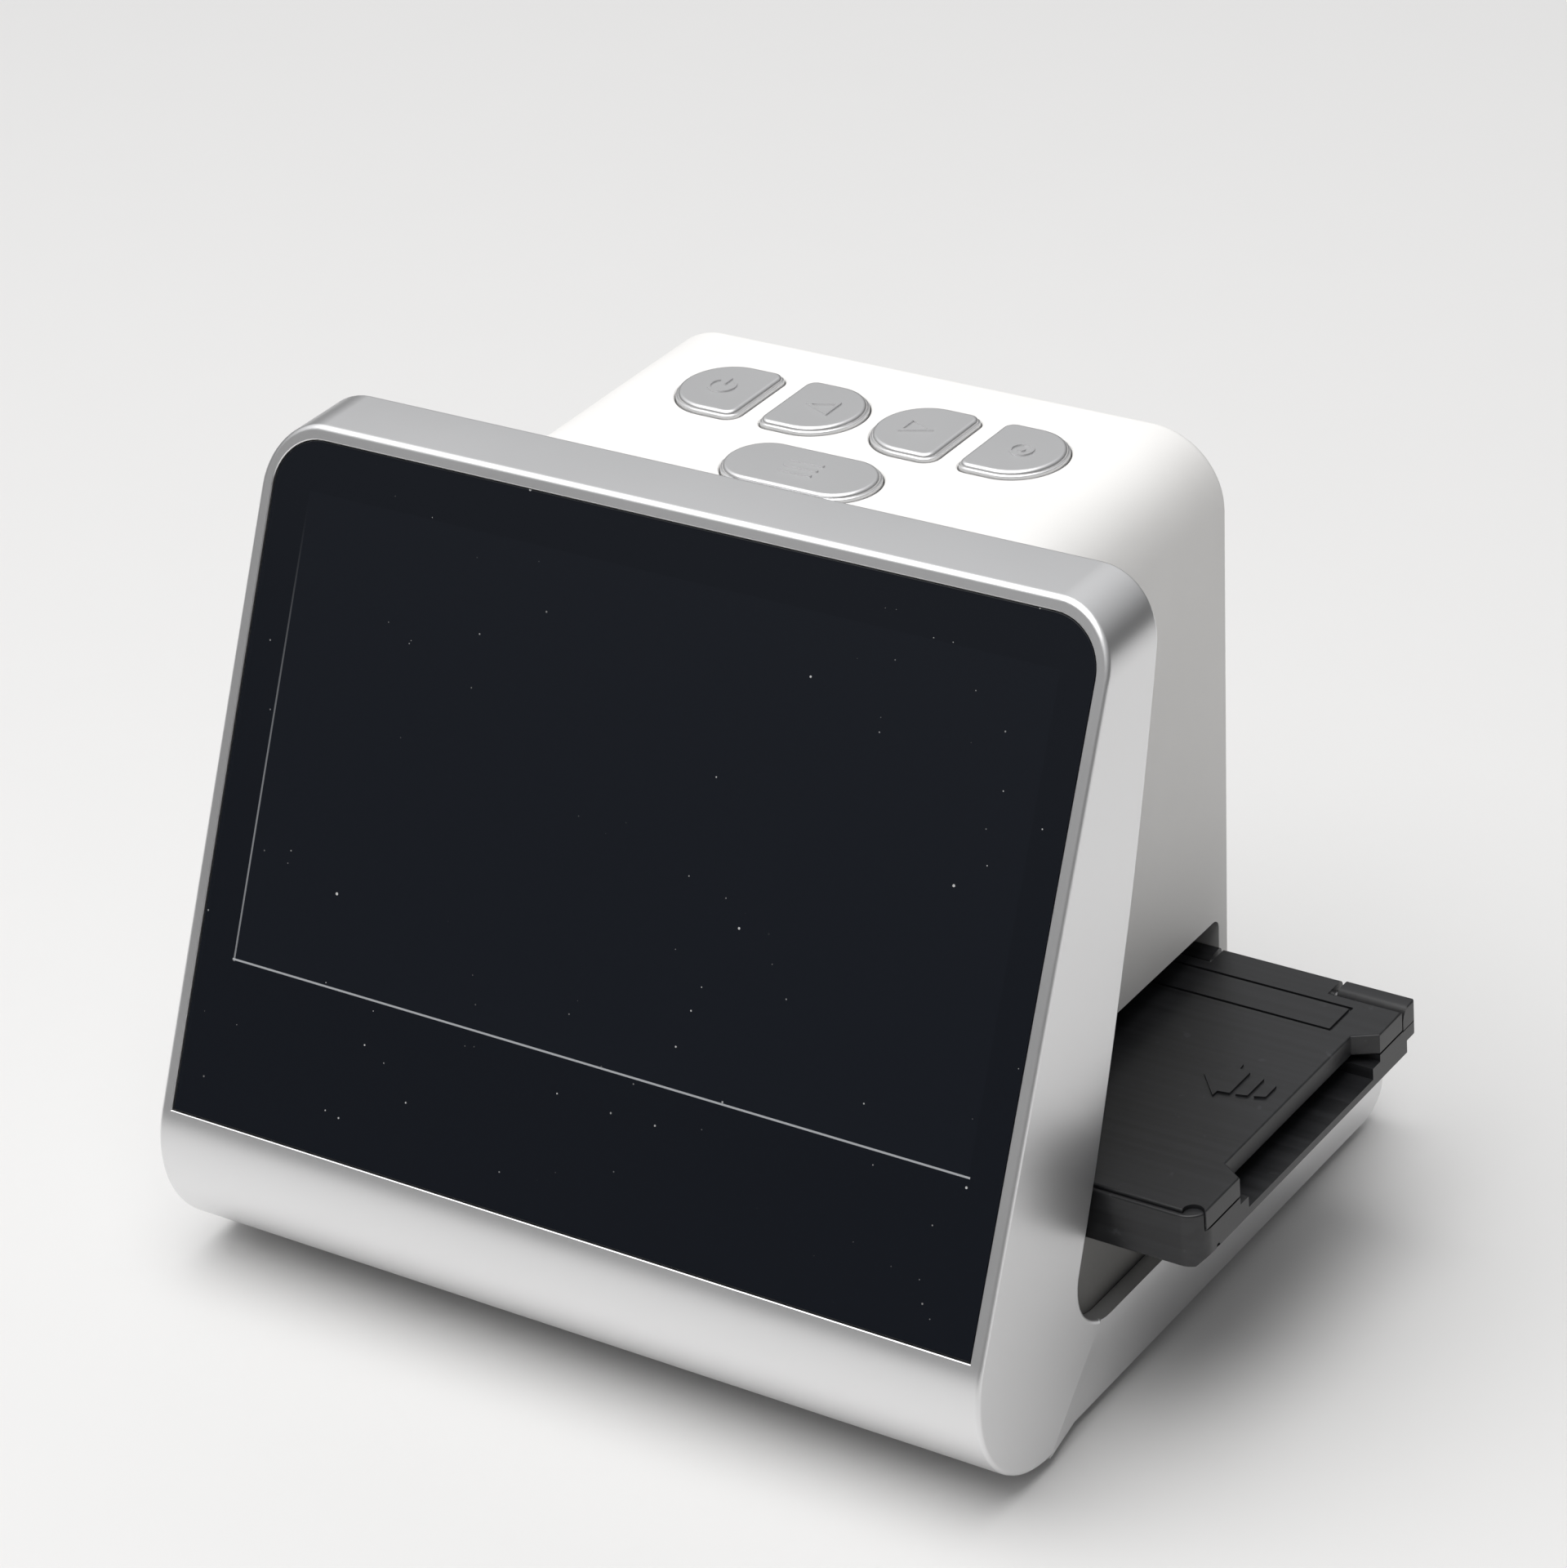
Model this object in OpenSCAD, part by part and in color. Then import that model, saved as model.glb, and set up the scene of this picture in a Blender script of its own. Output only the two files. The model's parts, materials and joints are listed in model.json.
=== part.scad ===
// Film scanner with a leaning screen: a V-shaped stand, a camera tower over a light box,
// and a hinged film holder that slides through the slot between them.
// Stand frame: X = 0 on the stand's centre plane, Y = 0 at the nose, Z = 0 on the table.

/* [Stand] */
// Width of the stand
stand_w = 128; // [126:0.5:134]
// Depth of the stand, from nose to rear wall
stand_d = 104; // [103:0.5:112]
// Height of the stand's top edge above the table
stand_h = 107.8; // [107:0.2:112]
// Lean of the screen face back from vertical, degrees
lean = 25.8; // [25:0.1:26.4]
// Lean of the leg's rear face, degrees
rear_lean = 18.2; // [17.8:0.1:18.6]
// Outward bow of the leg's rear face at mid height
rear_bow = 1.9; // [1.4:0.1:2.2]
// Depth of the leg's flat top
leg_top_d = 10.3; // [10:0.1:10.4]
// Radius of the rounded nose
nose_r = 15.6; // [15:0.1:16.4]
// Radius of the stand's two upper corners
corner_r = 8.5; // [5:0.5:10]
// Radius of the leg's top rear edge
edge_r = 0.8; // [0.5:0.1:1.2]
// Radius of the crook between leg and base
crook_r = 7; // [5:0.5:8]
// Radius of the base's lower rear edge
rear_r = 4; // [2:0.5:5]
// Height of the base's rim above the table
rim_z = 13.7; // [13.2:0.1:15]
// Side, top and rear wall of the stand
stand_wall = 2.5; // [2.2:0.1:2.8]
// Wall of the screen face, the nose and the base's floor
face_t = 3; // [2.8:0.1:3.2]
// Draft of the base's sides, degrees
base_draft = 3; // [0:0.5:5]
// Thickness of the leg's rear cover
cover_t = 2; // [1.6:0.1:2.4]
// Width of the opening for leads in the leg's rear cover
lead_opening_w = 44; // [36:1:46]
// Distance of that opening's left side from the camera's axis
lead_opening_x = 26; // [22:1:28]
// Height of that opening's foot above the camera plate
lead_opening_z = 8; // [6:1:10]
// Height of that opening's top above the button board
lead_opening_top = 3; // [2:0.5:4]

/* [Base plate and feet] */
// Thickness of the base plate
plate_t = 1.6; // [1.4:0.1:1.8]
// Distance of the base plate's edge from the base's side
plate_margin = 5.5; // [5:0.5:7]
// Width of the ledge that the base plate screws up against
plate_ledge = 3; // [2:0.5:4]
// Height of the stand above the table on its feet
foot_h = 1.6; // [1.4:0.1:2]
// Radius of a rubber foot
foot_r = 6; // [4:0.5:6.5]
// Depth of a foot's seat in the base plate
foot_seat = 0.6; // [0.4:0.1:0.8]
// Distance of the feet from the base plate's side edges
foot_x = 10.5; // [9:0.5:14]
// Distance of the front feet from the nose
foot_front_y = 30; // [28:1:31]
// Distance of the rear feet from the stand's rear wall
foot_rear_y = 14; // [13:0.5:15]
// Distance of the base plate's screws from its side edges
plate_hole_x = 6.5; // [6:0.5:8]
// Distance of the base plate's front screws from the nose
plate_hole_front = 41; // [40:0.5:43]
// Distance of the base plate's rear screws from the stand's rear wall
plate_hole_rear = 24.5; // [24:0.5:27]
// Height of the pads round the base plate's screws
pad_h = 1.8; // [1.5:0.1:2]
// Length of a vent in the base plate
vent_l = 22; // [14:1:24]
// Width of a vent
vent_w = 2; // [1.5:0.1:2.4]
// Distance from vent to vent
vent_pitch = 6; // [5:0.5:6]
// Sideways distance of the vents from the centre
vent_x = 34; // [32:1:35]

/* [Screen] */
// Silver strip beside and above the glass
glass_strip = 1.8; // [1.4:0.1:2.4]
// Thickness of the front glass
glass_t = 1.1; // [0.8:0.1:1.2]
// Depth of the glass below the screen face
glass_recess = 0.2; // [0.1:0.05:0.3]
// Radius of the glass's upper corners
glass_r = 7; // [4:0.5:9]
// Thickness of the adhesive frame behind the glass
tape_t = 0.2; // [0.1:0.05:0.3]
// Distance of the display's sides from the glass's sides
lcd_side = 5.5; // [4.8:0.1:8]
// Distance of the display's upper edge from the glass's upper edge
lcd_top = 6.8; // [6.5:0.1:9]
// Thickness of the display panel
lcd_t = 3.2; // [2.6:0.1:3.4]
// Distance of the display's lower edge from the glass's lower edge
lcd_foot = 22; // [21:0.5:22.5]
// Sideways offset of the display
lcd_x = 0.6; // [-0.5:0.1:0.8]
// Thickness of the display's metal bracket
bracket_t = 1; // [0.8:0.1:1.2]
// Distance of the bracket's sides from the stand's inner walls
bracket_side = 5.5; // [5:0.5:7]
// Distance of the bracket's lower edge from the glass's lower edge
bracket_foot = 11.5; // [11:0.5:12]
// Distance of the bracket's upper edge from the glass's upper edge
bracket_top = 0.8; // [0.6:0.1:1.2]
// Distance of the bracket's screws from its sides
bracket_hole = 6; // [5:0.5:8]
// Length of the spacers between bracket and display board
spacer_h = 3; // [2.4:0.1:3.2]
// Width of the display board
display_board_w = 62; // [58:1:66]
// Height of the display board
display_board_h = 35; // [34:1:36]
// Distance of the display board's lower edge from the glass's lower edge
display_board_foot = 25; // [25:0.5:26]
// Width of the display's flat lead
flex_w = 26; // [22:1:30]

/* [Tower] */
// Sideways offset of the tower and the optical axis
axis_x = 8.2; // [4:0.2:9]
// Width of the tower at its deck
tower_w = 86.4; // [85:0.2:90]
// Draft of the tower's sides, degrees
tower_draft = 2; // [1.5:0.1:2.2]
// Radius of the tower's upper side edges
tower_r = 10; // [8:0.5:11]
// Depth of the tower's deck below the stand's top edge
deck_step = 0.9; // [0.8:0.1:1.2]
// Wall of the tower
tower_wall = 2.2; // [2:0.1:2.6]
// Thickness of the tower's inner floor
floor_t = 2; // [1.8:0.1:2.4]
// Radius of the light's way through the tower's inner floor
floor_hole_r = 15; // [14:0.5:16]

/* [Film slot and light box] */
// Height of the light box's top above the table
slot_z = 24.9; // [24.4:0.1:25.4]
// Clear height of the film slot
slot_h = 12.3; // [12:0.1:13]
// Thickness of the wall behind the film slot
slot_rear_t = 3.1; // [2.8:0.1:3.6]
// Radius of the slot's upper rear corner
slot_r = 1.5; // [0.5:0.1:2.5]
// Wall of the light box
box_t = 2; // [1.8:0.1:2.4]
// Depth of the rear deck below the base's rim
deck_drop = 0.5; // [0.3:0.1:1]
// Thickness of the opal window
opal_t = 1.5; // [1:0.1:1.6]
// Width of the opal window
opal_w = 46; // [44:1:50]
// Depth of the opal window, front to back
opal_d = 34; // [32:1:38]
// Width of the lip that holds the opal window
opal_lip = 2; // [1.5:0.1:2.5]
// Width of the light board beside the opal window
light_side = 4; // [3.5:0.1:5]
// Depth of the light board before and behind the opal window
light_end = 3; // [2.5:0.1:3.5]
// Height of the light board above the base plate
light_board_h = 4; // [3.6:0.1:4.4]
// Distance from light to light
led_pitch = 9; // [8:0.5:9.5]
// Length of the rail in front of the film holder
guide_l = 76; // [70:2:90]
// Height of the rail
guide_h = 3; // [2.8:0.1:3.4]
// Thickness of the rail
guide_t = 2; // [1.8:0.1:2]

/* [Film holder] */
// Length of the film holder
holder_l = 140; // [138:0.5:144]
// Depth of the film holder, front to back
holder_d = 56.7; // [55.5:0.1:57]
// Thickness of the tray
tray_t = 5; // [4.8:0.1:5.2]
// Thickness of the lid
lid_t = 3; // [2.8:0.1:3.2]
// Distance of the film holder behind the leg's rear face
holder_gap = 1.2; // [1.1:0.1:1.6]
// Clearance of the holder in its slot
slide_gap = 0.25; // [0.15:0.05:0.4]
// Gap between tray and light box, and between tray and lid
rest_gap = 0.1; // [0.05:0.01:0.15]
// Width of the film channel and of the film's exit
film_w = 36.6; // [35.6:0.1:37]
// Depth of the film channel in the tray
film_t = 1; // [0.6:0.1:1.4]
// Length of a frame window
frame_l = 37; // [36:0.5:38]
// Width of a frame window
frame_w = 25; // [24.5:0.5:27]
// Depth of the notch where the film leaves the lid
exit_d = 3.1; // [2:0.1:4]
// Narrowing of the exit notch on each side
exit_slant = 2; // [1:0.1:3]
// Radius of the tray's front corners
tray_r = 5; // [3:0.5:6]
// Thickness of the lip in front of the lid
lip_t = 0.8; // [0.6:0.1:1]
// Radius of a hinge knuckle
knuckle_r = 1.8; // [1.6:0.1:1.9]
// Radius of a hinge pin
pin_r = 0.8; // [0.7:0.05:0.9]
// Clearance of a hinge pin in the lid
pin_gap = 0.05; // [0.03:0.01:0.08]
// Length of the tray's outer knuckle
outer_knuckle = 10.4; // [8:0.2:12]
// Length of the lid's knuckle
lid_knuckle = 17.4; // [14:0.2:20]
// Gap between the knuckles of tray and lid
knuckle_gap = 0.3; // [0.2:0.05:0.5]
// Radius of a closing magnet
magnet_r = 2.5; // [2:0.1:3]
// Thickness of a closing magnet
magnet_t = 1.5; // [1:0.1:2]
// Distance of the magnets from the holder's ends
magnet_end = 9; // [8:0.5:12]
// Distance of the magnets from the holder's front
magnet_front = 6; // [5:0.5:7]

/* [Buttons] */
// Width of a D-shaped button's face
button_w = 10.4; // [9.8:0.1:10.8]
// Depth of a D-shaped button's face
button_d = 11.7; // [11:0.1:12]
// Gap between the faces of a pair
pair_gap = 5; // [4.6:0.1:5.4]
// Gap between the faces of the two pairs
mid_gap = 4.2; // [4:0.1:5]
// Distance of the button row from the leg's top rear edge
row_y = 21.5; // [21:0.05:21.8]
// Length of the long button's face
long_l = 20.7; // [19:0.1:22]
// Depth of the long button's face
long_d = 9.4; // [9:0.1:9.6]
// Distance of the long button from the leg's top rear edge
long_y = 5.5; // [5.45:0.05:5.8]
// Height of the buttons above the deck
button_rise = 1.1; // [0.9:0.1:1.4]
// Height of a button's straight skirt above the deck
skirt_rise = 0.35; // [0.2:0.05:0.5]
// Width of the skirt round a button's face
skirt_w = 0.85; // [0.6:0.05:1]
// Gap between skirt and deck
button_gap = 0.2; // [0.15:0.05:0.3]
// Travel of a button
travel = 0.5; // [0.3:0.05:0.55]
// Width of the flange that keeps a button in the deck
flange_w = 0.7; // [0.5:0.05:0.8]
// Thickness of that flange
flange_t = 1; // [0.8:0.1:1.2]
// Depth of the button board below the deck's underside
button_board_h = 12.3; // [12:0.1:13]
// Width of the button board
button_board_w = 75; // [72:1:78]
// Side of a switch
switch_w = 6; // [5.6:0.1:6.2]
// Height of a switch's body
switch_h = 3.4; // [3:0.1:3.6]
// Height of a switch with its plunger
plunger_h = 4.3; // [4:0.1:4.6]

/* [Camera] */
// Radius of the lens barrel
barrel_r = 8; // [7:0.1:8.5]
// Length of the lens barrel
barrel_l = 20; // [18:0.5:21]
// Radius of the lens
lens_r = 6; // [5:0.1:6.4]
// Thickness of the lens
lens_t = 2.6; // [2.4:0.1:2.8]
// Height of the camera plate above the tower's inner floor
camera_h = 25; // [24:0.5:27]
// Height of the sensor board above the camera plate
sensor_h = 12; // [11:0.5:13]
// Width of the camera plate
camera_w = 42; // [40:1:44]
// Depth of the camera plate
camera_d = 32; // [31:0.5:32]
// Thickness of the camera plate
camera_t = 2; // [1.6:0.1:2.4]
// Width of the sensor board
sensor_w = 27; // [26:1:30]
// Depth of the sensor board
sensor_d = 23; // [22:1:23]
// Height of the hood round the lens
hood_h = 7.4; // [6:0.2:8]

/* [Boards] */
// Thickness of every circuit board
board_t = 1.6; // [1.2:0.1:1.6]
// Distance of a board's screws from its edges
board_hole = 4; // [3.5:0.1:4.5]
// Radius of the posts under the boards
post_r = 2.4; // [2:0.1:2.5]
// Distance of the main board's sides from the base plate's sides
main_side = 12.5; // [11:0.5:13]
// Height of the main board above the base plate
main_board_h = 1.6; // [1.4:0.1:2]
// Thickness of a flat lead
lead_t = 0.3; // [0.2:0.05:0.4]
// Width of the flat lead from the camera
camera_lead_w = 12; // [8:1:14]

/* [Sockets] */
// Distance of the power and data socket from the main board's left end
usb_x = 18; // [16:0.5:20]
// Width of the power and data socket
usb_w = 8.9; // [8.8:0.05:9.2]
// Height of the power and data socket
usb_h = 3.2; // [3.1:0.05:3.3]
// Distance of the video socket from the main board's left end
video_x = 36; // [34:0.5:38]
// Width of the video socket
video_w = 11.2; // [11:0.1:11.4]
// Height of the video socket
video_h = 3.4; // [3.2:0.1:3.6]
// Depth of the power and video sockets
socket_d = 7.4; // [7:0.1:7.8]
// Distance of the memory card slot from the main board's right end
card_x = 24; // [22:0.5:26]
// Width of the memory card slot
card_w = 26; // [25.5:0.1:27]
// Height of the memory card slot
card_h = 3; // [2.8:0.1:3.2]
// Depth of the memory card slot
card_d = 14.5; // [14:0.1:15]
// Depth of the sockets' mouths in the rear wall
mouth_in = 0.6; // [0.4:0.1:0.8]

/* [Fasteners] */
// Radius of a screw's shank
screw_r = 1; // [0.9:0.05:1.1]
// Radius of a screw's head
head_r = 1.9; // [1.8:0.05:2.1]
// Height of a screw's head
head_h = 1.2; // [1:0.1:1.3]
// Clearance of a screw in its hole
screw_gap = 0.1; // [0.06:0.02:0.14]
// Shank length of the screws from the tower into the leg
joint_screw_l = 8.5; // [7.5:0.25:8.75]
// Radius of a screw boss
boss_r = 2.8; // [2.6:0.1:3]
// Depth of a screw boss in the tower
boss_l = 9; // [8.5:0.5:10]
// Depth of the bosses behind the leg's rear cover
cover_boss_l = 6; // [5.6:0.1:6.4]
// Gap between fitted shells
fit_gap = 0.15; // [0.1:0.01:0.2]

/* [Hidden] */
$fn = 48;
// Overlap that makes a cut run clear of a face
eps = 0.5;
// Distance of a boss's axis from the wall that it stands against
boss_in = boss_r - 0.6;
// Radius of the pads round the base plate's screws, inside the ledge
pad_r = plate_hole_x - plate_ledge - 0.3;

// Stand outline, in (y, z)
nose_c = [nose_r, foot_h + nose_r];
face_foot = nose_c + nose_r * [-cos(lean), sin(lean)];
face_len = (stand_h - face_foot[1]) / cos(lean);
top_front = face_foot + face_len * [sin(lean), cos(lean)];
top_rear = [top_front[0] + leg_top_d, stand_h];
rear_n = [cos(rear_lean), -sin(rear_lean)];
crook_c = [rear_y(rim_z + crook_r) + crook_r / cos(rear_lean), rim_z + crook_r];
crook_top = crook_c - crook_r * rear_n;
edge_reach = edge_r / tan((90 - rear_lean) / 2);
edge_c = top_rear - [edge_reach, edge_r];
edge_end = top_rear - edge_reach * [sin(rear_lean), cos(rear_lean)];
mitre_top = crook_c + crook_r * [cos(250), sin(250)];
mitre_foot = [nose_c[0] - 0.5, foot_h];
mitre_dir = (mitre_top - mitre_foot) / norm(mitre_top - mitre_foot);
inner_w = stand_w - 2 * stand_wall;
floor_in = foot_h + face_t;
// Steps in the bowed rear line
bow_steps = 14;

// Tower and slot
slot_top = slot_z + slot_h;
holder_x0 = axis_x - holder_l / 2;
holder_x1 = axis_x + holder_l / 2;
holder_out = holder_x1 - stand_w / 2;
tray_z = slot_z + rest_gap;
tray_top = tray_z + tray_t;
lid_z = tray_top + rest_gap;
lid_top = lid_z + lid_t;
holder_front = rear_y(lid_top) + rear_bow_at(lid_top) / cos(rear_lean) + holder_gap;
holder_rear = holder_front + holder_d;
slot_rear = holder_rear + slide_gap;
tower_rear = slot_rear + slot_rear_t;
frame_y = (holder_rear + holder_front) / 2;
rear_deck_z = rim_z - deck_drop;
box_w = inner_w - 2 * fit_gap;
deck_z = stand_h - deck_step;
tower_in = deck_z - tower_wall;
tower_floor_z = slot_top + floor_t;

// Boards and supports
plate_top = foot_h + plate_t;
plate_half = stand_w / 2 - plate_margin;
button_board_z = tower_in - button_board_h;
button_board_y0 = top_rear[0] + 1.6;
button_board_y1 = tower_rear - tower_wall - 2.7;
camera_z = tower_floor_z + camera_h;
sensor_z = camera_z + camera_t + sensor_h;
light_board_z = plate_top + light_board_h;
main_board_z = plate_top + main_board_h;
socket_z = main_board_z + board_t;
socket_y = stand_d - mouth_in;
light_x = opal_w / 2 + light_side - board_hole;
light_y = opal_d / 2 + light_end - board_hole;
main_w = 2 * (plate_half - main_side);
usb_at = usb_x - main_w / 2;
video_at = video_x - main_w / 2;
card_at = main_w / 2 - card_x;
main_y0 = frame_y + light_y + post_r + 0.9;
main_y1 = stand_d - stand_wall - 0.3;
hinge_y = holder_rear - knuckle_r - 0.1;
hinge_z = lid_top - knuckle_r;
knuckle_x = holder_l / 2 - outer_knuckle;
rail_x = knuckle_x - lid_knuckle - 2 * knuckle_gap;
magnet_x = holder_l / 2 - magnet_end;
magnet_y = holder_front + magnet_front;
glass_w = stand_w - 2 * glass_strip;
glass_h = face_len - glass_strip;
lcd_w = glass_w - 2 * lcd_side;
lcd_h = glass_h - lcd_foot - lcd_top;
pocket = glass_recess + glass_t + tape_t;
bracket_z = -pocket - lcd_t;
spacer_z = bracket_z - bracket_t;
display_board_z = spacer_z - spacer_h - board_t;

// Places of the screws: [x, y] from the stand frame
plate_spots = [for (x = [-1, 1], y = [plate_hole_front, stand_d - plate_hole_rear])
  [x * (plate_half - plate_hole_x), y]];
light_spots = [for (x = [-light_x, light_x], y = [-light_y, light_y]) [axis_x + x, frame_y + y]];
main_spots = [for (x = [-1, 1], r = [0, 1])
  [x * (main_w / 2 - 3 - 5 * r), r == 0 ? main_y0 + 2.5 : main_y1 - 8.7]];
bracket_spots = [for (x = [-1, 1], s = [bracket_foot + 3.5, glass_h - bracket_top - 3.5])
  [x * (inner_w / 2 - bracket_side - bracket_hole), s]];
spacer_spots = [for (x = [-1, 1], s = [board_hole, display_board_h - board_hole])
  [x * (display_board_w / 2 - board_hole), display_board_foot + s]];
button_spots = [for (x = [-1, 1], y = [button_board_y0 + 3, button_board_y1 - 3])
  [axis_x + x * (button_board_w / 2 - 3.5), y]];
floor_spots = [for (x = [-1, 1], y = [48, tower_rear - 7.9])
  [axis_x + x * (tower_half(tower_floor_z, tower_wall) - boss_in), y]];
camera_spots = [for (x = [-1, 1], y = [-1, 1])
  [axis_x + x * (camera_w / 2 - 3), frame_y + y * (camera_d / 2 - 3)]];
sensor_spots = [for (x = [-1, 1], y = [-1, 1])
  [axis_x + x * (sensor_w / 2 - 2.5), frame_y + y * (sensor_d / 2 - 2.5)]];
cover_spots = [for (x = [-1, 1], z = [40, stand_h - 27.8]) [x * (inner_w / 2 - boss_in), z]];
joint_spots = [for (x = [-1, 1], z = [50, stand_h - 21.8])
  [axis_x + x * (tower_half(z, tower_wall) - boss_in), z]];

// Buttons: [centre x, centre y, which side is round: -1 left, 1 right, 0 both]
button_x = mid_gap / 2 + button_w / 2;
button_step = button_w + pair_gap;
row_at = top_rear[0] + row_y;
power_at = [axis_x - button_x - button_step, row_at, -1];
back_at = [axis_x - button_x, row_at, 1];
forward_at = [axis_x + button_x, row_at, -1];
confirm_at = [axis_x + button_x + button_step, row_at, 1];
menu_at = [axis_x, top_rear[0] + long_y, 0];
buttons = [power_at, back_at, forward_at, confirm_at, menu_at];

// Colours
silver = [0.76, 0.77, 0.78];
white = [0.95, 0.95, 0.93];
grey = [0.36, 0.36, 0.35];
black = [0.12, 0.12, 0.13];
screen_black = [0.05, 0.06, 0.08];
board_green = [0.08, 0.32, 0.18];
steel = [0.6, 0.61, 0.63];
rubber = [0.08, 0.08, 0.08];
opal = [0.93, 0.94, 0.96];
film_brown = [0.55, 0.35, 0.12];

// Straight rear line of the leg at a height
function rear_y(z) = top_rear[0] - (stand_h - z) * tan(rear_lean);
// Arc of n steps about c
function arc(c, r, from, to, n) =
  [for (i = [0:n]) let(a = from + (to - from) * i / n) c + r * [cos(a), sin(a)]];
// Bowed rear line from the top edge down to the crook, moved out by off
function rear_line(off) =
  [for (i = [0:bow_steps]) let(t = 1 - i / bow_steps)
    crook_top + (edge_end - crook_top) * t + rear_n * (rear_bow * 4 * t * (1 - t) + off)];
// Height fraction and bow at a height, for things that sit on the rear line
function rear_bow_at(z) =
  let(t = (z - crook_top[1]) / (edge_end[1] - crook_top[1])) rear_bow * 4 * t * (1 - t);
// Point at s up the screen face and z out of it, in (y, z)
function face_at(s, z) = face_foot + s * [sin(lean), cos(lean)] + z * [-cos(lean), sin(lean)];
// Half width of the tower at a height
function tower_half(z, inset) = tower_w / 2 - (deck_z - z) * tan(tower_draft) - inset;

// Places a piece of the stand frame in the part's own frame
module seat(c) color(c) translate([-holder_out / 2, -stand_d / 2, 0]) children();
// Extrudes a (y, z) outline along X, or an (x, z) outline along Y
module along_x(w, x = 0) translate([x, 0, 0]) rotate([90, 0, 90])
  linear_extrude(w, center = true) children();
module along_y(y0, y1) translate([0, y1, 0]) rotate([90, 0, 0])
  linear_extrude(y1 - y0) children();
// Frame of the screen face: X across, Y up the face from its foot, Z out of it
module on_face() translate([0, face_foot[0], face_foot[1]]) rotate([90 - lean, 0, 0]) children();
// Frame on the leg's rear face: Z out of it
module on_rear(x, z) translate([x, rear_y(z) + rear_bow_at(z) / cos(rear_lean), z])
  rotate([-90 - rear_lean, 0, 0]) children();
// Rectangle with rounded corners
module round_rect(w, d, r) {
  translate([-w / 2 + r, -d / 2]) square([w - 2 * r, d]);
  translate([-w / 2, -d / 2 + r]) square([w, d - 2 * r]);
  for (x = [-1, 1], y = [-1, 1]) translate([x * (w / 2 - r), y * (d / 2 - r)]) circle(r);
}
// Block centred in X and Y, standing on z
module block(w, d, h) translate([-w / 2, -d / 2, 0]) cube([w, d, h]);
// Screw with its head at the origin and its shank down Z
module screw(l) {
  translate([0, 0, -l]) cylinder(r = screw_r, h = l);
  difference() {
    cylinder(r = head_r, h = head_h);
    translate([0, 0, head_h - 0.6]) for (a = [0, 90]) rotate(a) block(2.2, 0.5, 1);
  }
}
// Hole for a screw, from z = -l up to z = h
module screw_hole(l, h = 0) translate([0, 0, -l]) cylinder(r = screw_r + screw_gap, h = l + h);
// Flat ribbon of thickness t along a path in the (y, z) plane
module ribbon(path, t, w, x) along_x(w, x) for (i = [0:len(path) - 2]) {
  let(d = path[i + 1] - path[i], u = d / norm(d), n = [-u[1], u[0]] * t / 2, e = u * t / 2)
    polygon([path[i] - e + n, path[i + 1] + e + n, path[i + 1] + e - n, path[i] - e - n]);
}

// --- Stand ---

module stand_outline() polygon(concat(
  arc(nose_c, nose_r, 270, 180, 14), arc(nose_c, nose_r, 180, 180 - lean, 4), [top_front],
  arc(edge_c, edge_r, 90, -rear_lean, 6), rear_line(0),
  arc(crook_c, crook_r, 180 - rear_lean, 270, 8), [[stand_d, rim_z]],
  arc([stand_d - rear_r, foot_h + rear_r], rear_r, 0, -90, 6)));

module stand_cavity() polygon(concat(
  arc(nose_c, nose_r - face_t, 270, 180 - lean, 12),
  [let(p = face_foot + face_t * [cos(lean), -sin(lean)])
    p + (stand_h - stand_wall - p[1]) * [tan(lean), 1]],
  [[stand_d - stand_wall, stand_h - stand_wall], [stand_d - stand_wall, floor_in]]));

// Everything in front of the mitre between the leg and the base, back by off
module mitre_front(off) let(n = [mitre_dir[1], -mitre_dir[0]] * off) polygon([
  mitre_foot - 60 * mitre_dir - n, mitre_top + 140 * mitre_dir - n, [-60, stand_h + 60],
  [-60, -60]]);

// Front view of the stand with its round upper corners, inset on the sides and the top
module top_shape(inset) let(r = corner_r - inset, w = stand_w / 2 - inset, h = stand_h - inset)
  polygon(concat([[-w, -eps], [w, -eps]], arc([w - r, h - r], r, 0, 90, 8),
    arc([-w + r, h - r], r, 90, 180, 8)));

module glass_outline(inset) {
  w = glass_w - 2 * inset;
  h = glass_h - 2 * inset;
  r = glass_r - inset;
  translate([0, inset]) {
    translate([-w / 2, 0]) square([w, h - r]);
    translate([-w / 2 + r, 0]) square([w - 2 * r, h]);
    for (x = [-1, 1]) translate([x * (w / 2 - r), h - r]) circle(r);
  }
}

module display_window(gap) translate([lcd_x, lcd_foot + lcd_h / 2])
  square([lcd_w + 2 * gap, lcd_h + 2 * gap], center = true);

module stand_front() seat(silver) difference() {
  union() {
    difference() {
      intersection() {
        along_x(stand_w) intersection() { stand_outline(); mitre_front(0); }
        along_y(-eps, stand_d) top_shape(0);
      }
      intersection() {
        along_x(inner_w) stand_cavity();
        along_y(-eps, stand_d) top_shape(stand_wall);
      }
      on_face() translate([0, 0, -pocket]) linear_extrude(pocket + 4) glass_outline(0);
    }
    on_face() for (p = bracket_spots) translate([p[0], p[1], bracket_z])
      cylinder(r = 2.6, h = -bracket_z - pocket - 0.4);
    for (p = cover_spots) on_rear(p[0], p[1]) translate([0, 0, -cover_t - 0.3 - cover_boss_l])
      cylinder(r = boss_r, h = cover_boss_l);
  }
  on_face() translate([0, 0, bracket_z - eps]) linear_extrude(eps - bracket_z)
    display_window(fit_gap);
  on_face() for (p = bracket_spots) translate([p[0], p[1], bracket_z]) screw_hole(eps, 2.4);
  for (p = cover_spots) on_rear(p[0], p[1]) translate([0, 0, -cover_t])
    screw_hole(cover_boss_l - 0.4);
}

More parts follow.
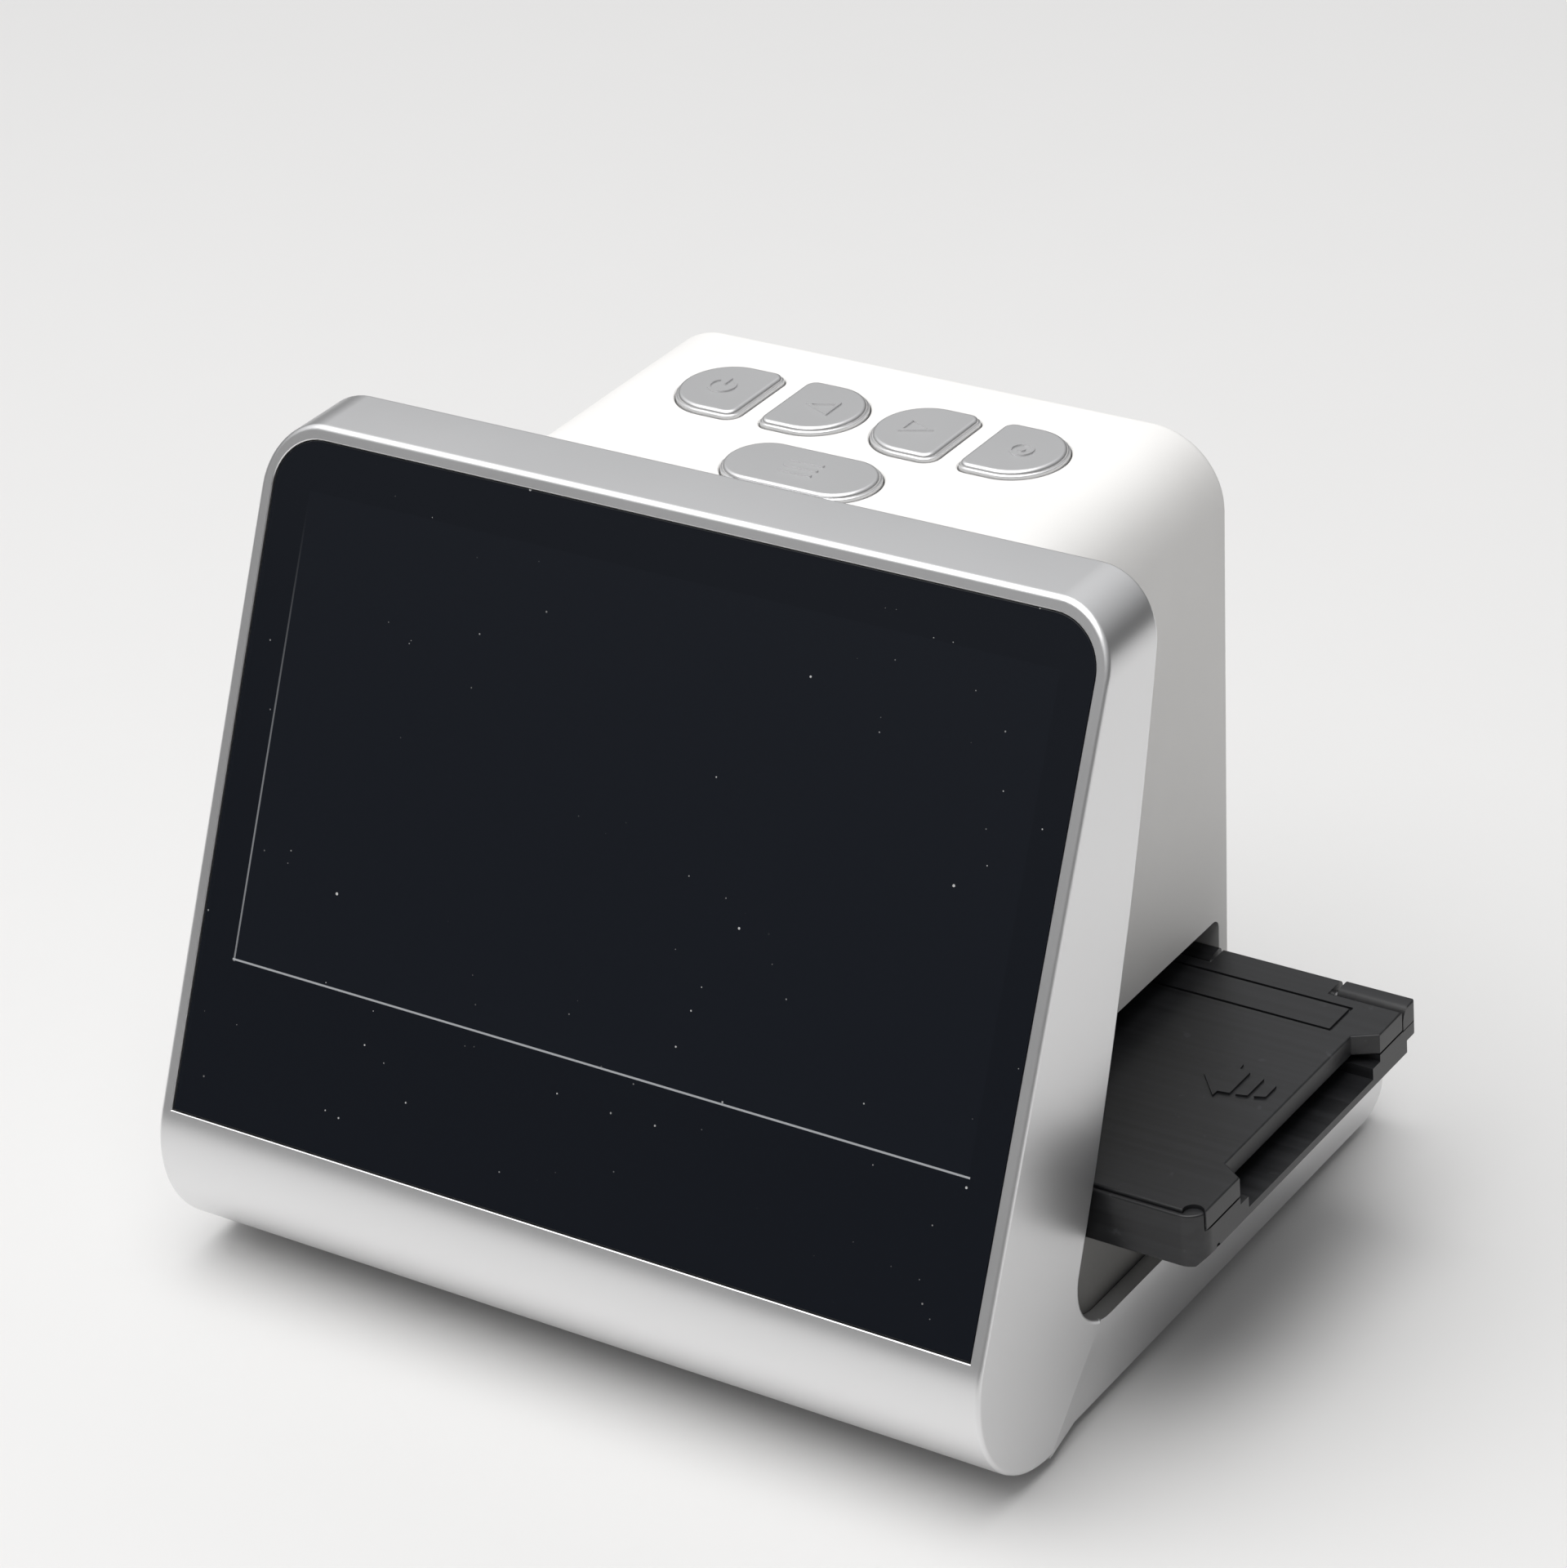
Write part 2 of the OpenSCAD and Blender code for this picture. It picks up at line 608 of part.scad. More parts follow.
module base_tub() seat(silver) difference() {
  intersection() {
    along_x(stand_w) difference() { stand_outline(); mitre_front(0); }
    along_y(0, stand_d + eps) let(low = stand_w / 2 - (rim_z - foot_h) * tan(base_draft))
      polygon([[-low, foot_h - eps], [low, foot_h - eps], [low, foot_h], [stand_w / 2, rim_z],
        [stand_w / 2, rim_z + 9], [-stand_w / 2, rim_z + 9], [-stand_w / 2, rim_z],
        [-low, foot_h]]);
  }
  along_x(inner_w) stand_cavity();
  translate([0, 0, foot_h - eps]) linear_extrude(plate_t + eps + 0.05) plate_outline(fit_gap);
  translate([0, 0, foot_h - eps]) linear_extrude(face_t + 2) plate_outline(-plate_ledge);
  along_y(stand_d - stand_wall - eps, stand_d + eps) {
    translate([usb_at, socket_z + usb_h / 2])
      round_rect(usb_w + 4 * fit_gap, usb_h + 4 * fit_gap, 1.5);
    translate([video_at, socket_z + video_h / 2])
      square([video_w + 4 * fit_gap, video_h + 4 * fit_gap], center = true);
    translate([card_at, socket_z + card_h / 2])
      square([card_w + 4 * fit_gap, card_h + 4 * fit_gap], center = true);
  }
}

module plate_outline(grow) {
  w = 2 * plate_half + 2 * grow;
  y0 = nose_c[0] + 5 - grow;
  y1 = stand_d - plate_margin + grow;
  translate([0, (y0 + y1) / 2]) round_rect(w, y1 - y0, 3);
}

module leg_cover() seat(silver) difference() {
  intersection() {
    along_x(inner_w - 2 * fit_gap) polygon(concat(
      rear_line(0), [[rear_y(rim_z + 2), rim_z + 2]],
      [[rear_y(rim_z + 2), rim_z + 2] - cover_t * rear_n],
      [for (i = [bow_steps:-1:0]) rear_line(-cover_t)[i]]));
    along_y(0, stand_d) top_shape(stand_wall + fit_gap);
  }
  for (p = cover_spots) on_rear(p[0], p[1]) {
    screw_hole(cover_t + eps);
    translate([0, 0, -head_h]) cylinder(r = head_r + screw_gap, h = head_h + 2);
  }
  for (p = joint_spots) on_rear(p[0], p[1]) screw_hole(cover_t + 1, 1);
  translate([axis_x - lead_opening_x, 0, camera_z + lead_opening_z])
    cube([lead_opening_w, stand_d, button_board_z + lead_opening_top - camera_z - lead_opening_z]);
}

module leg_cover_screws() seat(steel)
  for (p = cover_spots) on_rear(p[0], p[1]) translate([0, 0, -head_h]) screw(cover_boss_l);

module base_plate() seat(silver) difference() {
  union() {
    translate([0, 0, foot_h]) linear_extrude(plate_t) plate_outline(0);
    for (p = plate_spots) translate([p[0], p[1], foot_h]) cylinder(r = pad_r, h = plate_t + pad_h);
    for (p = light_spots) translate([p[0], p[1], plate_top - eps])
      cylinder(r = post_r, h = light_board_h + eps);
    for (p = main_spots) translate([p[0], p[1], plate_top - eps])
      cylinder(r = post_r, h = main_board_h + eps);
  }
  for (p = plate_spots) translate([p[0], p[1], foot_h]) {
    translate([0, 0, -eps]) cylinder(r = head_r + 0.3, h = plate_t + pad_h / 3 + eps);
    translate([0, 0, plate_t + pad_h + eps]) screw_hole(plate_t + pad_h);
  }
  for (p = light_spots) translate([p[0], p[1], light_board_z + eps]) screw_hole(light_board_h);
  for (p = main_spots) translate([p[0], p[1], main_board_z + eps])
    screw_hole(main_board_h + 0.8);
  feet_places() translate([0, 0, -eps]) cylinder(r = foot_r + 0.1, h = foot_seat + eps);
  for (i = [0:3], x = [-vent_x, vent_x]) translate([x, frame_y - 8.2 + i * vent_pitch, 0])
    linear_extrude(plate_top + 1) round_rect(vent_l, vent_w, 0.9);
}

module feet_places()
  for (x = [-1, 1], y = [foot_front_y, stand_d - foot_rear_y])
    translate([x * (plate_half - foot_x), y, foot_h]) children();

module base_plate_screws() seat(steel) for (p = plate_spots)
  translate([p[0], p[1], plate_top + pad_h / 3]) mirror([0, 0, 1]) screw(7.5);

module rubber_feet() seat(rubber) feet_places() translate([0, 0, -foot_h])
  cylinder(r = foot_r, h = foot_h + foot_seat);

// --- Screen ---

module front_glass() seat(screen_black) on_face() translate([0, 0, -glass_recess - glass_t])
  linear_extrude(glass_t) glass_outline(fit_gap);

module glass_tape() seat(black) on_face() translate([0, 0, -pocket]) linear_extrude(tape_t)
  difference() { glass_outline(2 * fit_gap); display_window(0.6); }

module display_panel() seat(screen_black) on_face() translate([0, 0, bracket_z])
  linear_extrude(lcd_t) display_window(0);

module display_bracket() seat(steel) on_face() difference() {
  union() {
    translate([0, (bracket_foot + glass_h - bracket_top) / 2, spacer_z]) linear_extrude(bracket_t)
      round_rect(inner_w - 2 * bracket_side, glass_h - bracket_top - bracket_foot, 3);
    for (p = spacer_spots) translate([p[0], p[1], spacer_z - spacer_h])
      cylinder(r = 2, h = spacer_h + 0.2);
  }
  for (p = bracket_spots) translate([p[0], p[1], bracket_z + eps]) screw_hole(bracket_t + 1);
  for (p = spacer_spots) translate([p[0], p[1], spacer_z]) screw_hole(spacer_h + eps);
  translate([0, bracket_foot + 0.5, spacer_z - eps]) linear_extrude(bracket_t + 1)
    square([flex_w + 8, 20], center = true);
  for (x = [-1, 1]) translate([x * (inner_w / 2 - 21.5), glass_h / 2 + 6, spacer_z - eps])
    linear_extrude(bracket_t + 1) round_rect(14, glass_h / 2, 3);
}

module bracket_screws() seat(steel) on_face() {
  for (p = bracket_spots) translate([p[0], p[1], spacer_z]) mirror([0, 0, 1]) screw(3);
  for (p = spacer_spots) translate([p[0], p[1], display_board_z]) mirror([0, 0, 1]) screw(4);
}

module display_board() seat(board_green) on_face() difference() {
  translate([0, display_board_foot + display_board_h / 2, display_board_z])
    linear_extrude(board_t) round_rect(display_board_w, display_board_h, 2);
  for (p = spacer_spots) translate([p[0], p[1], display_board_z + board_t + eps])
    screw_hole(board_t + 1);
}

module display_flex() seat(film_brown) on_face() let(
    top = -face_t - lead_t - 0.05, low = display_board_z + board_t, loop = 3.5,
    end = display_board_foot + 7)
  rotate([90, 0, 90]) linear_extrude(flex_w, center = true) {
    translate([lcd_foot - loop, top]) square([loop, lead_t]);
    translate([lcd_foot - loop, low]) square([lead_t, top - low + lead_t]);
    translate([lcd_foot - loop, low]) square([end - lcd_foot + loop, lead_t]);
  }

// --- Tower ---

module tower_profile(inset, z0) {
  r = tower_r - inset;
  cz = deck_z - inset - r;
  cx = tower_half(cz, inset) - r / cos(tower_draft);
  translate([axis_x, 0]) polygon(concat(
    [[-tower_half(z0, inset), z0], [tower_half(z0, inset), z0]],
    arc([cx, cz], r, -tower_draft, 90, 10), arc([-cx, cz], r, 90, 180 + tower_draft, 10)));
}

// The leg's own space, grown by off, that the tower and the light box stay out of
module leg_zone(off) polygon(concat(
  [[-40, stand_h + 20], [edge_c[0], stand_h + 20]], arc(edge_c, edge_r + off, 90, -rear_lean, 6),
  rear_line(off), [[rear_y(0) + off / cos(rear_lean), 0]], [[-40, 0]]));

module slot_outline() polygon(concat(
  [[-10, slot_z - eps], [slot_rear, slot_z - eps]],
  arc([slot_rear - slot_r, slot_top - slot_r], slot_r, 0, 90, 5), [[-10, slot_top]]));

module tower_shell() seat(white) difference() {
  union() {
    difference() {
      along_y(10, tower_rear) tower_profile(0, slot_z);
      along_y(0, tower_rear - tower_wall) tower_profile(tower_wall, slot_top);
      along_x(2 * stand_w) slot_outline();
    }
    for (p = button_spots) translate([p[0], p[1], button_board_z + board_t])
      cylinder(r = 2.6, h = tower_in - button_board_z - board_t + eps);
    for (p = floor_spots) translate([p[0], p[1], tower_floor_z]) cylinder(r = boss_r, h = boss_l);
    for (p = joint_spots) on_rear(p[0], p[1]) cylinder(r = boss_r, h = boss_l);
  }
  along_x(2 * stand_w) leg_zone(fit_gap);
  for (p = button_spots) translate([p[0], p[1], button_board_z]) screw_hole(0, 8);
  for (p = floor_spots) translate([p[0], p[1], tower_floor_z]) screw_hole(eps, 7.5);
  for (p = joint_spots) on_rear(p[0], p[1]) screw_hole(eps, 7.5);
  for (b = buttons) translate([b[0], b[1], tower_in - eps]) linear_extrude(tower_wall + 2 * eps)
    button_outline(b[2], skirt_w + button_gap);
}

module tower_floor() seat(black) difference() {
  intersection() {
    translate([0, 0, slot_top]) linear_extrude(floor_t) translate([axis_x - tower_w, 0])
      square([2 * tower_w, tower_rear - tower_wall - fit_gap]);
    along_y(0, tower_rear) tower_profile(tower_wall + fit_gap, slot_top);
  }
  along_x(2 * stand_w) leg_zone(2 * fit_gap);
  translate([axis_x, frame_y, slot_top - eps]) cylinder(r = floor_hole_r, h = floor_t + 1);
  for (p = floor_spots) translate([p[0], p[1], slot_top]) {
    translate([0, 0, -eps]) cylinder(r = head_r + 0.2, h = head_h + 0.1 + eps);
    screw_hole(0, floor_t + 1);
  }
}

module floor_screws() seat(steel) for (p = floor_spots)
  translate([p[0], p[1], slot_top + head_h + 0.1]) mirror([0, 0, 1]) screw(7);

module tower_screws() seat(steel) for (p = joint_spots) on_rear(p[0], p[1])
  translate([0, 0, -cover_t - 0.1]) mirror([0, 0, 1]) screw(joint_screw_l);

// --- Light box ---

module light_box() seat(grey) difference() {
  union() {
    difference() {
      along_x(box_w) let(g = 2 * fit_gap) polygon([
        [nose_c[0] + 9, floor_in], [nose_c[0] + 9, floor_in + 5],
        [rear_y(floor_in + 5) + g, floor_in + 5], [rear_y(slot_z) + g, slot_z],
        [tower_rear, slot_z], [tower_rear, rear_deck_z],
        [stand_d - stand_wall - fit_gap, rear_deck_z], [stand_d - stand_wall - fit_gap, floor_in]]);
      along_x(box_w - 2 * box_t) let(g = 2 * fit_gap + box_t) polygon([
        [nose_c[0] - 9, -eps], [rear_y(floor_in) + g, floor_in],
        [rear_y(slot_z - box_t) + g, slot_z - box_t],
        [tower_rear - box_t, slot_z - box_t], [tower_rear - box_t, rear_deck_z - box_t],
        [stand_d, rear_deck_z - box_t], [stand_d, -eps]]);
    }
    for (p = plate_spots) translate([p[0], p[1], plate_top + pad_h])
      cylinder(r = pad_r, h = slot_z - box_t - plate_top - pad_h + eps);
  }
  for (p = plate_spots) translate([p[0], p[1], plate_top + pad_h]) screw_hole(eps, 7.5);
  translate([axis_x, frame_y, 0]) {
    translate([0, 0, slot_z - box_t - eps])
      block(opal_w - 2 * opal_lip, opal_d - 2 * opal_lip, box_t + 1);
    translate([0, 0, slot_z - box_t - eps]) block(opal_w + 0.3, opal_d + 0.3, opal_t + eps);
  }
}

module opal_window() seat(opal) translate([axis_x, frame_y, slot_z - box_t])
  block(opal_w, opal_d, opal_t);

module light_reflector() seat(white) translate([axis_x, frame_y, light_board_z + board_t])
  let(h = slot_z - box_t - light_board_z - board_t) difference() {
    block(opal_w + 4, opal_d + 4, h);
    translate([0, 0, -eps]) block(opal_w - 1, opal_d - 1, h + 1);
    for (p = light_spots) translate([p[0] - axis_x, p[1] - frame_y, -eps])
      cylinder(r = 3, h = head_h + 2);
  }

module light_board() seat([0.9, 0.9, 0.88]) difference() {
  translate([axis_x, frame_y, light_board_z]) linear_extrude(board_t)
    round_rect(opal_w + 2 * light_side, opal_d + 2 * light_end, 2);
  for (p = light_spots) translate([p[0], p[1], light_board_z + board_t + eps])
    screw_hole(board_t + 1);
}

module light_leds() seat([1, 0.9, 0.6]) for (x = [-1.5:1:1.5], y = [-1:1:1])
  translate([axis_x + led_pitch * x, frame_y + led_pitch * y, light_board_z + board_t])
    block(3, 2.8, 0.8);

module light_board_screws() seat(steel) for (p = light_spots)
  translate([p[0], p[1], light_board_z + board_t]) screw(light_board_h + board_t - 1);

// --- Main board and sockets ---

module main_board() seat(board_green) difference() {
  translate([-main_w / 2, main_y0, main_board_z]) cube([main_w, main_y1 - main_y0, board_t]);
  for (p = main_spots) translate([p[0], p[1], main_board_z + board_t + eps])
    screw_hole(board_t + 1);
}

module main_chips() seat(black) {
  translate([(video_at + card_at - card_w / 2) / 2 + 2.8, main_y0 + 6.5, socket_z])
    block(9, 9, 1.2);
  translate([(usb_at + video_at) / 2 - 0.4, main_y0 + 6, socket_z]) block(6, 6, 1);
  for (x = [usb_at, video_at]) translate([x - 2, main_y0 + 3.5, socket_z]) block(5, 4, 1.4);
}

module main_board_screws() seat(steel) for (p = main_spots)
  translate([p[0], p[1], socket_z]) screw(main_board_h + board_t + 0.2);

// Shell of a socket whose mouth opens to the rear, with its contact tongue
module socket(w, h, d, t, tongue_w, tongue_t) translate([0, -d, 0]) {
  difference() {
    translate([-w / 2, 0, 0]) cube([w, d, h]);
    translate([-w / 2 + t, 1, t]) cube([w - 2 * t, d, h - 2 * t]);
  }
  translate([-tongue_w / 2, 0.5, h / 2 - tongue_t / 2]) cube([tongue_w, d - 1.5, tongue_t]);
}

module usb_socket() seat(steel) translate([usb_at, socket_y, socket_z]) {
  difference() {
    rotate([90, 0, 0]) linear_extrude(socket_d) translate([0, usb_h / 2])
      round_rect(usb_w, usb_h, 1.5);
    rotate([90, 0, 0]) translate([0, 0, -eps]) linear_extrude(socket_d - 1 + eps)
      translate([0, usb_h / 2]) round_rect(usb_w - 0.6, usb_h - 0.6, 1.25);
  }
  translate([-3.3, 0.4 - socket_d, usb_h / 2 - 0.35]) cube([6.6, socket_d - 1.8, 0.7]);
}

module video_socket() seat(steel) translate([video_at, socket_y, socket_z])
  socket(video_w, video_h, socket_d, 0.35, 8, 0.8);

module card_socket() seat(steel) translate([card_at, socket_y, socket_z]) difference() {
  translate([-card_w / 2, -card_d, 0]) cube([card_w, card_d, card_h]);
  translate([0.8 - card_w / 2, 2 - card_d, 0.4]) cube([card_w - 1.6, card_d, card_h - 0.8]);
}

module board_cable() seat(film_brown) let(
    back = display_board_z - lead_t / 2, low = main_board_z + board_t / 2)
  ribbon([face_at(display_board_foot + 4, back), face_at(display_board_foot - 2, back),
    [rear_y(floor_in + 6) - cover_t - 1.2, floor_in + 6], [nose_c[0] + 10, low],
    [main_y0 - lead_t / 2, low]],
    lead_t, 12, 0);

// --- Buttons, their board and switches ---

module button_outline(side, grow) {
  if (side == 0) {
    round_rect(long_l + 2 * grow, long_d + 2 * grow, long_d / 2 + grow - 0.01);
  } else mirror([side > 0 ? 1 : 0, 0]) {
    translate([-button_w / 2 + button_d / 2, 0]) intersection() {
      circle(button_d / 2 + grow);
      translate([-button_d, -button_d]) square([button_w + button_d / 2 + grow, 2 * button_d]);
    }
    translate([-button_w / 2 + button_d / 2, -button_d / 2 - grow])
      square([button_w - button_d / 2 + grow, button_d + 2 * grow]);
  }
}

module button_cap(b) seat(silver) translate([b[0], b[1], deck_z]) {
  hull() {
    linear_extrude(skirt_rise) button_outline(b[2], skirt_w);
    linear_extrude(skirt_rise + 0.15) button_outline(b[2], skirt_w - 0.15);
    linear_extrude(button_rise) button_outline(b[2], 0);
  }
  translate([0, 0, -tower_wall - 0.1]) linear_extrude(tower_wall + 0.2)
    button_outline(b[2], skirt_w);
  translate([0, 0, -tower_wall - 0.1 - flange_t]) linear_extrude(flange_t)
    button_outline(b[2], skirt_w + flange_w);
  let(low = button_board_z + board_t + plunger_h + travel + 0.15)
    translate([0, 0, low - deck_z]) cylinder(r = 1.8, h = tower_in - flange_t - low);
}

module power_button() button_cap(power_at);
module back_button() button_cap(back_at);
module forward_button() button_cap(forward_at);
module confirm_button() button_cap(confirm_at);
module menu_button() button_cap(menu_at);

module button_board() seat(board_green) difference() {
  translate([axis_x, (button_board_y0 + button_board_y1) / 2, button_board_z])
    linear_extrude(board_t) round_rect(button_board_w, button_board_y1 - button_board_y0, 2);
  for (p = button_spots) translate([p[0], p[1], button_board_z + board_t + eps])
    screw_hole(board_t + 1);
}

module button_board_screws() seat(steel) for (p = button_spots)
  translate([p[0], p[1], button_board_z]) mirror([0, 0, 1]) screw(8);

module button_switches() seat(black) for (b = buttons)
  translate([b[0], b[1], button_board_z + board_t]) {
    block(switch_w, switch_w, switch_h);
    cylinder(r = 1.6, h = plunger_h);
  }

// --- Camera ---

module camera_plate() seat(black) difference() {
  union() {
    translate([axis_x, frame_y, camera_z]) linear_extrude(camera_t)
      round_rect(camera_w, camera_d, 3);
    for (p = camera_spots) translate([p[0], p[1], tower_floor_z])
      cylinder(r = 2.2, h = camera_h + eps);
    for (p = sensor_spots) translate([p[0], p[1], camera_z + camera_t - eps])
      cylinder(r = 1.6, h = sensor_h + eps);
  }
  translate([axis_x, frame_y, camera_z - eps]) cylinder(r = barrel_r + fit_gap, h = camera_t + 1);
}

module lens_barrel() seat(black) translate([axis_x, frame_y, camera_z + camera_t]) difference() {
  union() {
    translate([0, 0, 3 - barrel_l]) cylinder(r = barrel_r, h = barrel_l);
    cylinder(r = barrel_r + 2, h = 1.5);
  }
  translate([0, 0, 2 - barrel_l]) cylinder(r = lens_r + 0.05, h = 5);
  translate([0, 0, 1 - barrel_l]) cylinder(r = lens_r - 0.8, h = barrel_l + 3);
}

module lens_glass() seat([0.5, 0.55, 0.65, 0.6])
  translate([axis_x, frame_y, camera_z + camera_t + 7 - barrel_l - lens_t]) intersection() {
    cylinder(r = lens_r, h = lens_t);
    translate([0, 0, lens_t - 14]) sphere(r = 14, $fn = 64);
  }

module light_hood() seat(black) translate([axis_x, frame_y, tower_floor_z])
  rotate_extrude() let(r = floor_hole_r) polygon([[r, 0], [r + 3.2, 0], [r + 3.2, 1.2],
    [r + 1.4, 1.2], [barrel_r + 2.2, hood_h], [barrel_r + 0.8, hood_h], [r, 1]]);

module sensor_board() seat(board_green) difference() {
  translate([axis_x, frame_y, sensor_z]) linear_extrude(board_t)
    round_rect(sensor_w, sensor_d, 1.5);
  for (p = sensor_spots) translate([p[0], p[1], sensor_z - eps]) cylinder(r = 0.8, h = board_t + 1);
}

module image_sensor() seat(steel) translate([axis_x, frame_y, sensor_z - 1.5])
  block(12, 10, 1.5);

// Point at the middle of the display board's upper edge, where the flat leads end
function display_top() = face_at(display_board_foot + display_board_h + 2 * lead_t,
  display_board_z + board_t / 2);

module camera_cable() seat(film_brown)
  ribbon([[frame_y - sensor_d / 2 + 1, sensor_z - lead_t / 2],
    [rear_y(sensor_z) - cover_t - 2.4, sensor_z - lead_t / 2], display_top()],
    lead_t, camera_lead_w, axis_x);

module button_cable() seat(film_brown)
  ribbon([[button_board_y0 + 2, button_board_z - lead_t / 2],
    [rear_y(button_board_z) - cover_t - 1.6, button_board_z - lead_t / 2], display_top()],
    lead_t, 8, axis_x - 18);

// --- Film slot ---

module slide_rail() seat(black) difference() {
  translate([axis_x - guide_l / 2, holder_front - slide_gap - guide_t, slot_z])
    cube([guide_l, guide_t, guide_h]);
  translate([axis_x - 5, holder_front - slide_gap - guide_t - 1, slot_z + 0.3])
    cube([10, guide_t + 2, guide_h]);
}

module detent_spring() seat(steel)
  translate([axis_x, holder_front - slide_gap - guide_t - 0.3, slot_z + 0.5])
  linear_extrude(2) polygon([[-15, 0], [-3.2, 0], [0, 1.9], [3.2, 0], [15, 0], [15, 0.3],
    [3, 0.3], [0, 2.2], [-3, 0.3], [-15, 0.3]]);

// --- Film holder ---

// Mirrors a piece of the holder to its other end
module both_ends() translate([axis_x, 0, 0]) for (s = [0, 1]) mirror([s, 0, 0]) children();

module exit_notch(z0, h) both_ends() translate([holder_l / 2, frame_y, z0]) linear_extrude(h)
  polygon([[-exit_d, -film_w / 2 + exit_slant], [0, -film_w / 2], [1, -film_w / 2],
    [1, film_w / 2], [0, film_w / 2], [-exit_d, film_w / 2 - exit_slant]]);

module pin_bore(x0, l, gap) translate([x0, hinge_y, hinge_z]) rotate([0, 90, 0])
  cylinder(r = pin_r + gap, h = l);

module tray_outline() {
  translate([0, frame_y]) difference() {
    round_rect(holder_l, holder_d, tray_r);
    translate([-holder_l, 0]) square([2 * holder_l, holder_d]);
  }
  translate([0, frame_y]) intersection() {
    round_rect(holder_l, holder_d, 1);
    translate([-holder_l, -eps]) square([2 * holder_l, holder_d]);
  }
}

module holder_tray() seat(black) difference() {
  union() {
    translate([axis_x, 0, tray_z]) linear_extrude(tray_t) tray_outline();
    translate([axis_x, 0, tray_z]) linear_extrude(lid_top - tray_z - 0.4) intersection() {
      tray_outline();
      translate([-holder_l, holder_front]) square([2 * holder_l, lip_t]);
    }
    both_ends() {
      knuckle_block(knuckle_x, outer_knuckle);
      knuckle_block(0, rail_x);
    }
  }
  both_ends() translate([knuckle_x - lid_knuckle - 2 * knuckle_gap, hinge_y - knuckle_r - 0.3,
      hinge_z - knuckle_r - 0.15])
    cube([lid_knuckle + 2 * knuckle_gap, 2 * knuckle_r + 3, 2 * knuckle_r + 2]);
  both_ends() pin_bore(rail_x - 6, outer_knuckle + lid_knuckle + 4, 0.02);
  translate([axis_x - holder_l, frame_y - film_w / 2, tray_top - film_t])
    cube([2 * holder_l, film_w, film_t + eps]);
  both_ends() translate([holder_l / 2 - 14, frame_y - film_w / 2 + exit_slant, tray_top - 2.6])
    cube([16, film_w - 2 * exit_slant, 3]);
  translate([axis_x, frame_y, tray_z - eps]) block(frame_l, frame_w, tray_t + 1);
  both_ends() translate([magnet_x, magnet_y, tray_top - magnet_t - 0.1])
    cylinder(r = magnet_r + 0.05, h = 2);
  translate([axis_x, holder_front, tray_z - eps]) cylinder(r = 2.4, h = tray_t / 2);
}

module knuckle_block(x0, l) {
  translate([x0, hinge_y - knuckle_r, tray_top - eps])
    cube([l, 2 * knuckle_r, hinge_z - tray_top + eps]);
  translate([x0, hinge_y, hinge_z]) rotate([0, 90, 0]) cylinder(r = knuckle_r, h = l);
}

module holder_lid() seat(black) difference() {
  union() {
    translate([holder_x0, holder_front + lip_t + 0.2, lid_z])
      cube([holder_l, hinge_y - knuckle_r - 0.3 - holder_front - lip_t - 0.2, lid_t]);
    both_ends() translate([knuckle_x - lid_knuckle - knuckle_gap, 0, 0]) {
      translate([0, hinge_y - knuckle_r - 1, lid_z]) cube([lid_knuckle, knuckle_r + 1, lid_t]);
      translate([0, hinge_y, hinge_z]) rotate([0, 90, 0]) cylinder(r = knuckle_r, h = lid_knuckle);
    }
  }
  both_ends() pin_bore(rail_x, outer_knuckle + lid_knuckle, pin_gap);
  exit_notch(lid_z - eps, lid_t + 1);
  translate([axis_x, frame_y, lid_z - eps]) block(frame_l, frame_w, lid_t + 1);
  both_ends() translate([magnet_x, magnet_y, lid_z - eps])
    cylinder(r = magnet_r + 0.05, h = magnet_t + 0.1 + eps);
  both_ends() translate([holder_l / 2, holder_front, lid_z + 1.2]) cylinder(r = 3, h = lid_t);
}

module hinge_pins() seat(steel) both_ends()
  translate([rail_x - 5.5, hinge_y, hinge_z]) rotate([0, 90, 0])
    cylinder(r = pin_r, h = outer_knuckle + lid_knuckle + 3);

module tray_magnets() seat(steel) both_ends()
  translate([magnet_x, magnet_y, tray_top - magnet_t - 0.1]) cylinder(r = magnet_r, h = magnet_t);

module lid_magnets() seat(steel) both_ends()
  translate([magnet_x, magnet_y, lid_z + 0.1]) cylinder(r = magnet_r, h = magnet_t);

stand_front();
base_tub();
leg_cover();
leg_cover_screws();
base_plate();
base_plate_screws();
rubber_feet();
front_glass();
glass_tape();
display_panel();
display_bracket();
bracket_screws();
display_board();
display_flex();
tower_shell();
tower_floor();
tower_screws();
floor_screws();
light_box();
opal_window();
light_reflector();
light_board();
light_leds();
light_board_screws();
main_board();
main_chips();
main_board_screws();
usb_socket();
video_socket();
card_socket();
board_cable();
button_board();
button_board_screws();
button_switches();
button_cable();
camera_plate();
lens_barrel();
lens_glass();
light_hood();
sensor_board();
image_sensor();
camera_cable();
slide_rail();
detent_spring();
power_button();
back_button();
forward_button();
confirm_button();
menu_button();
holder_tray();
holder_lid();
hinge_pins();
tray_magnets();
lid_magnets();
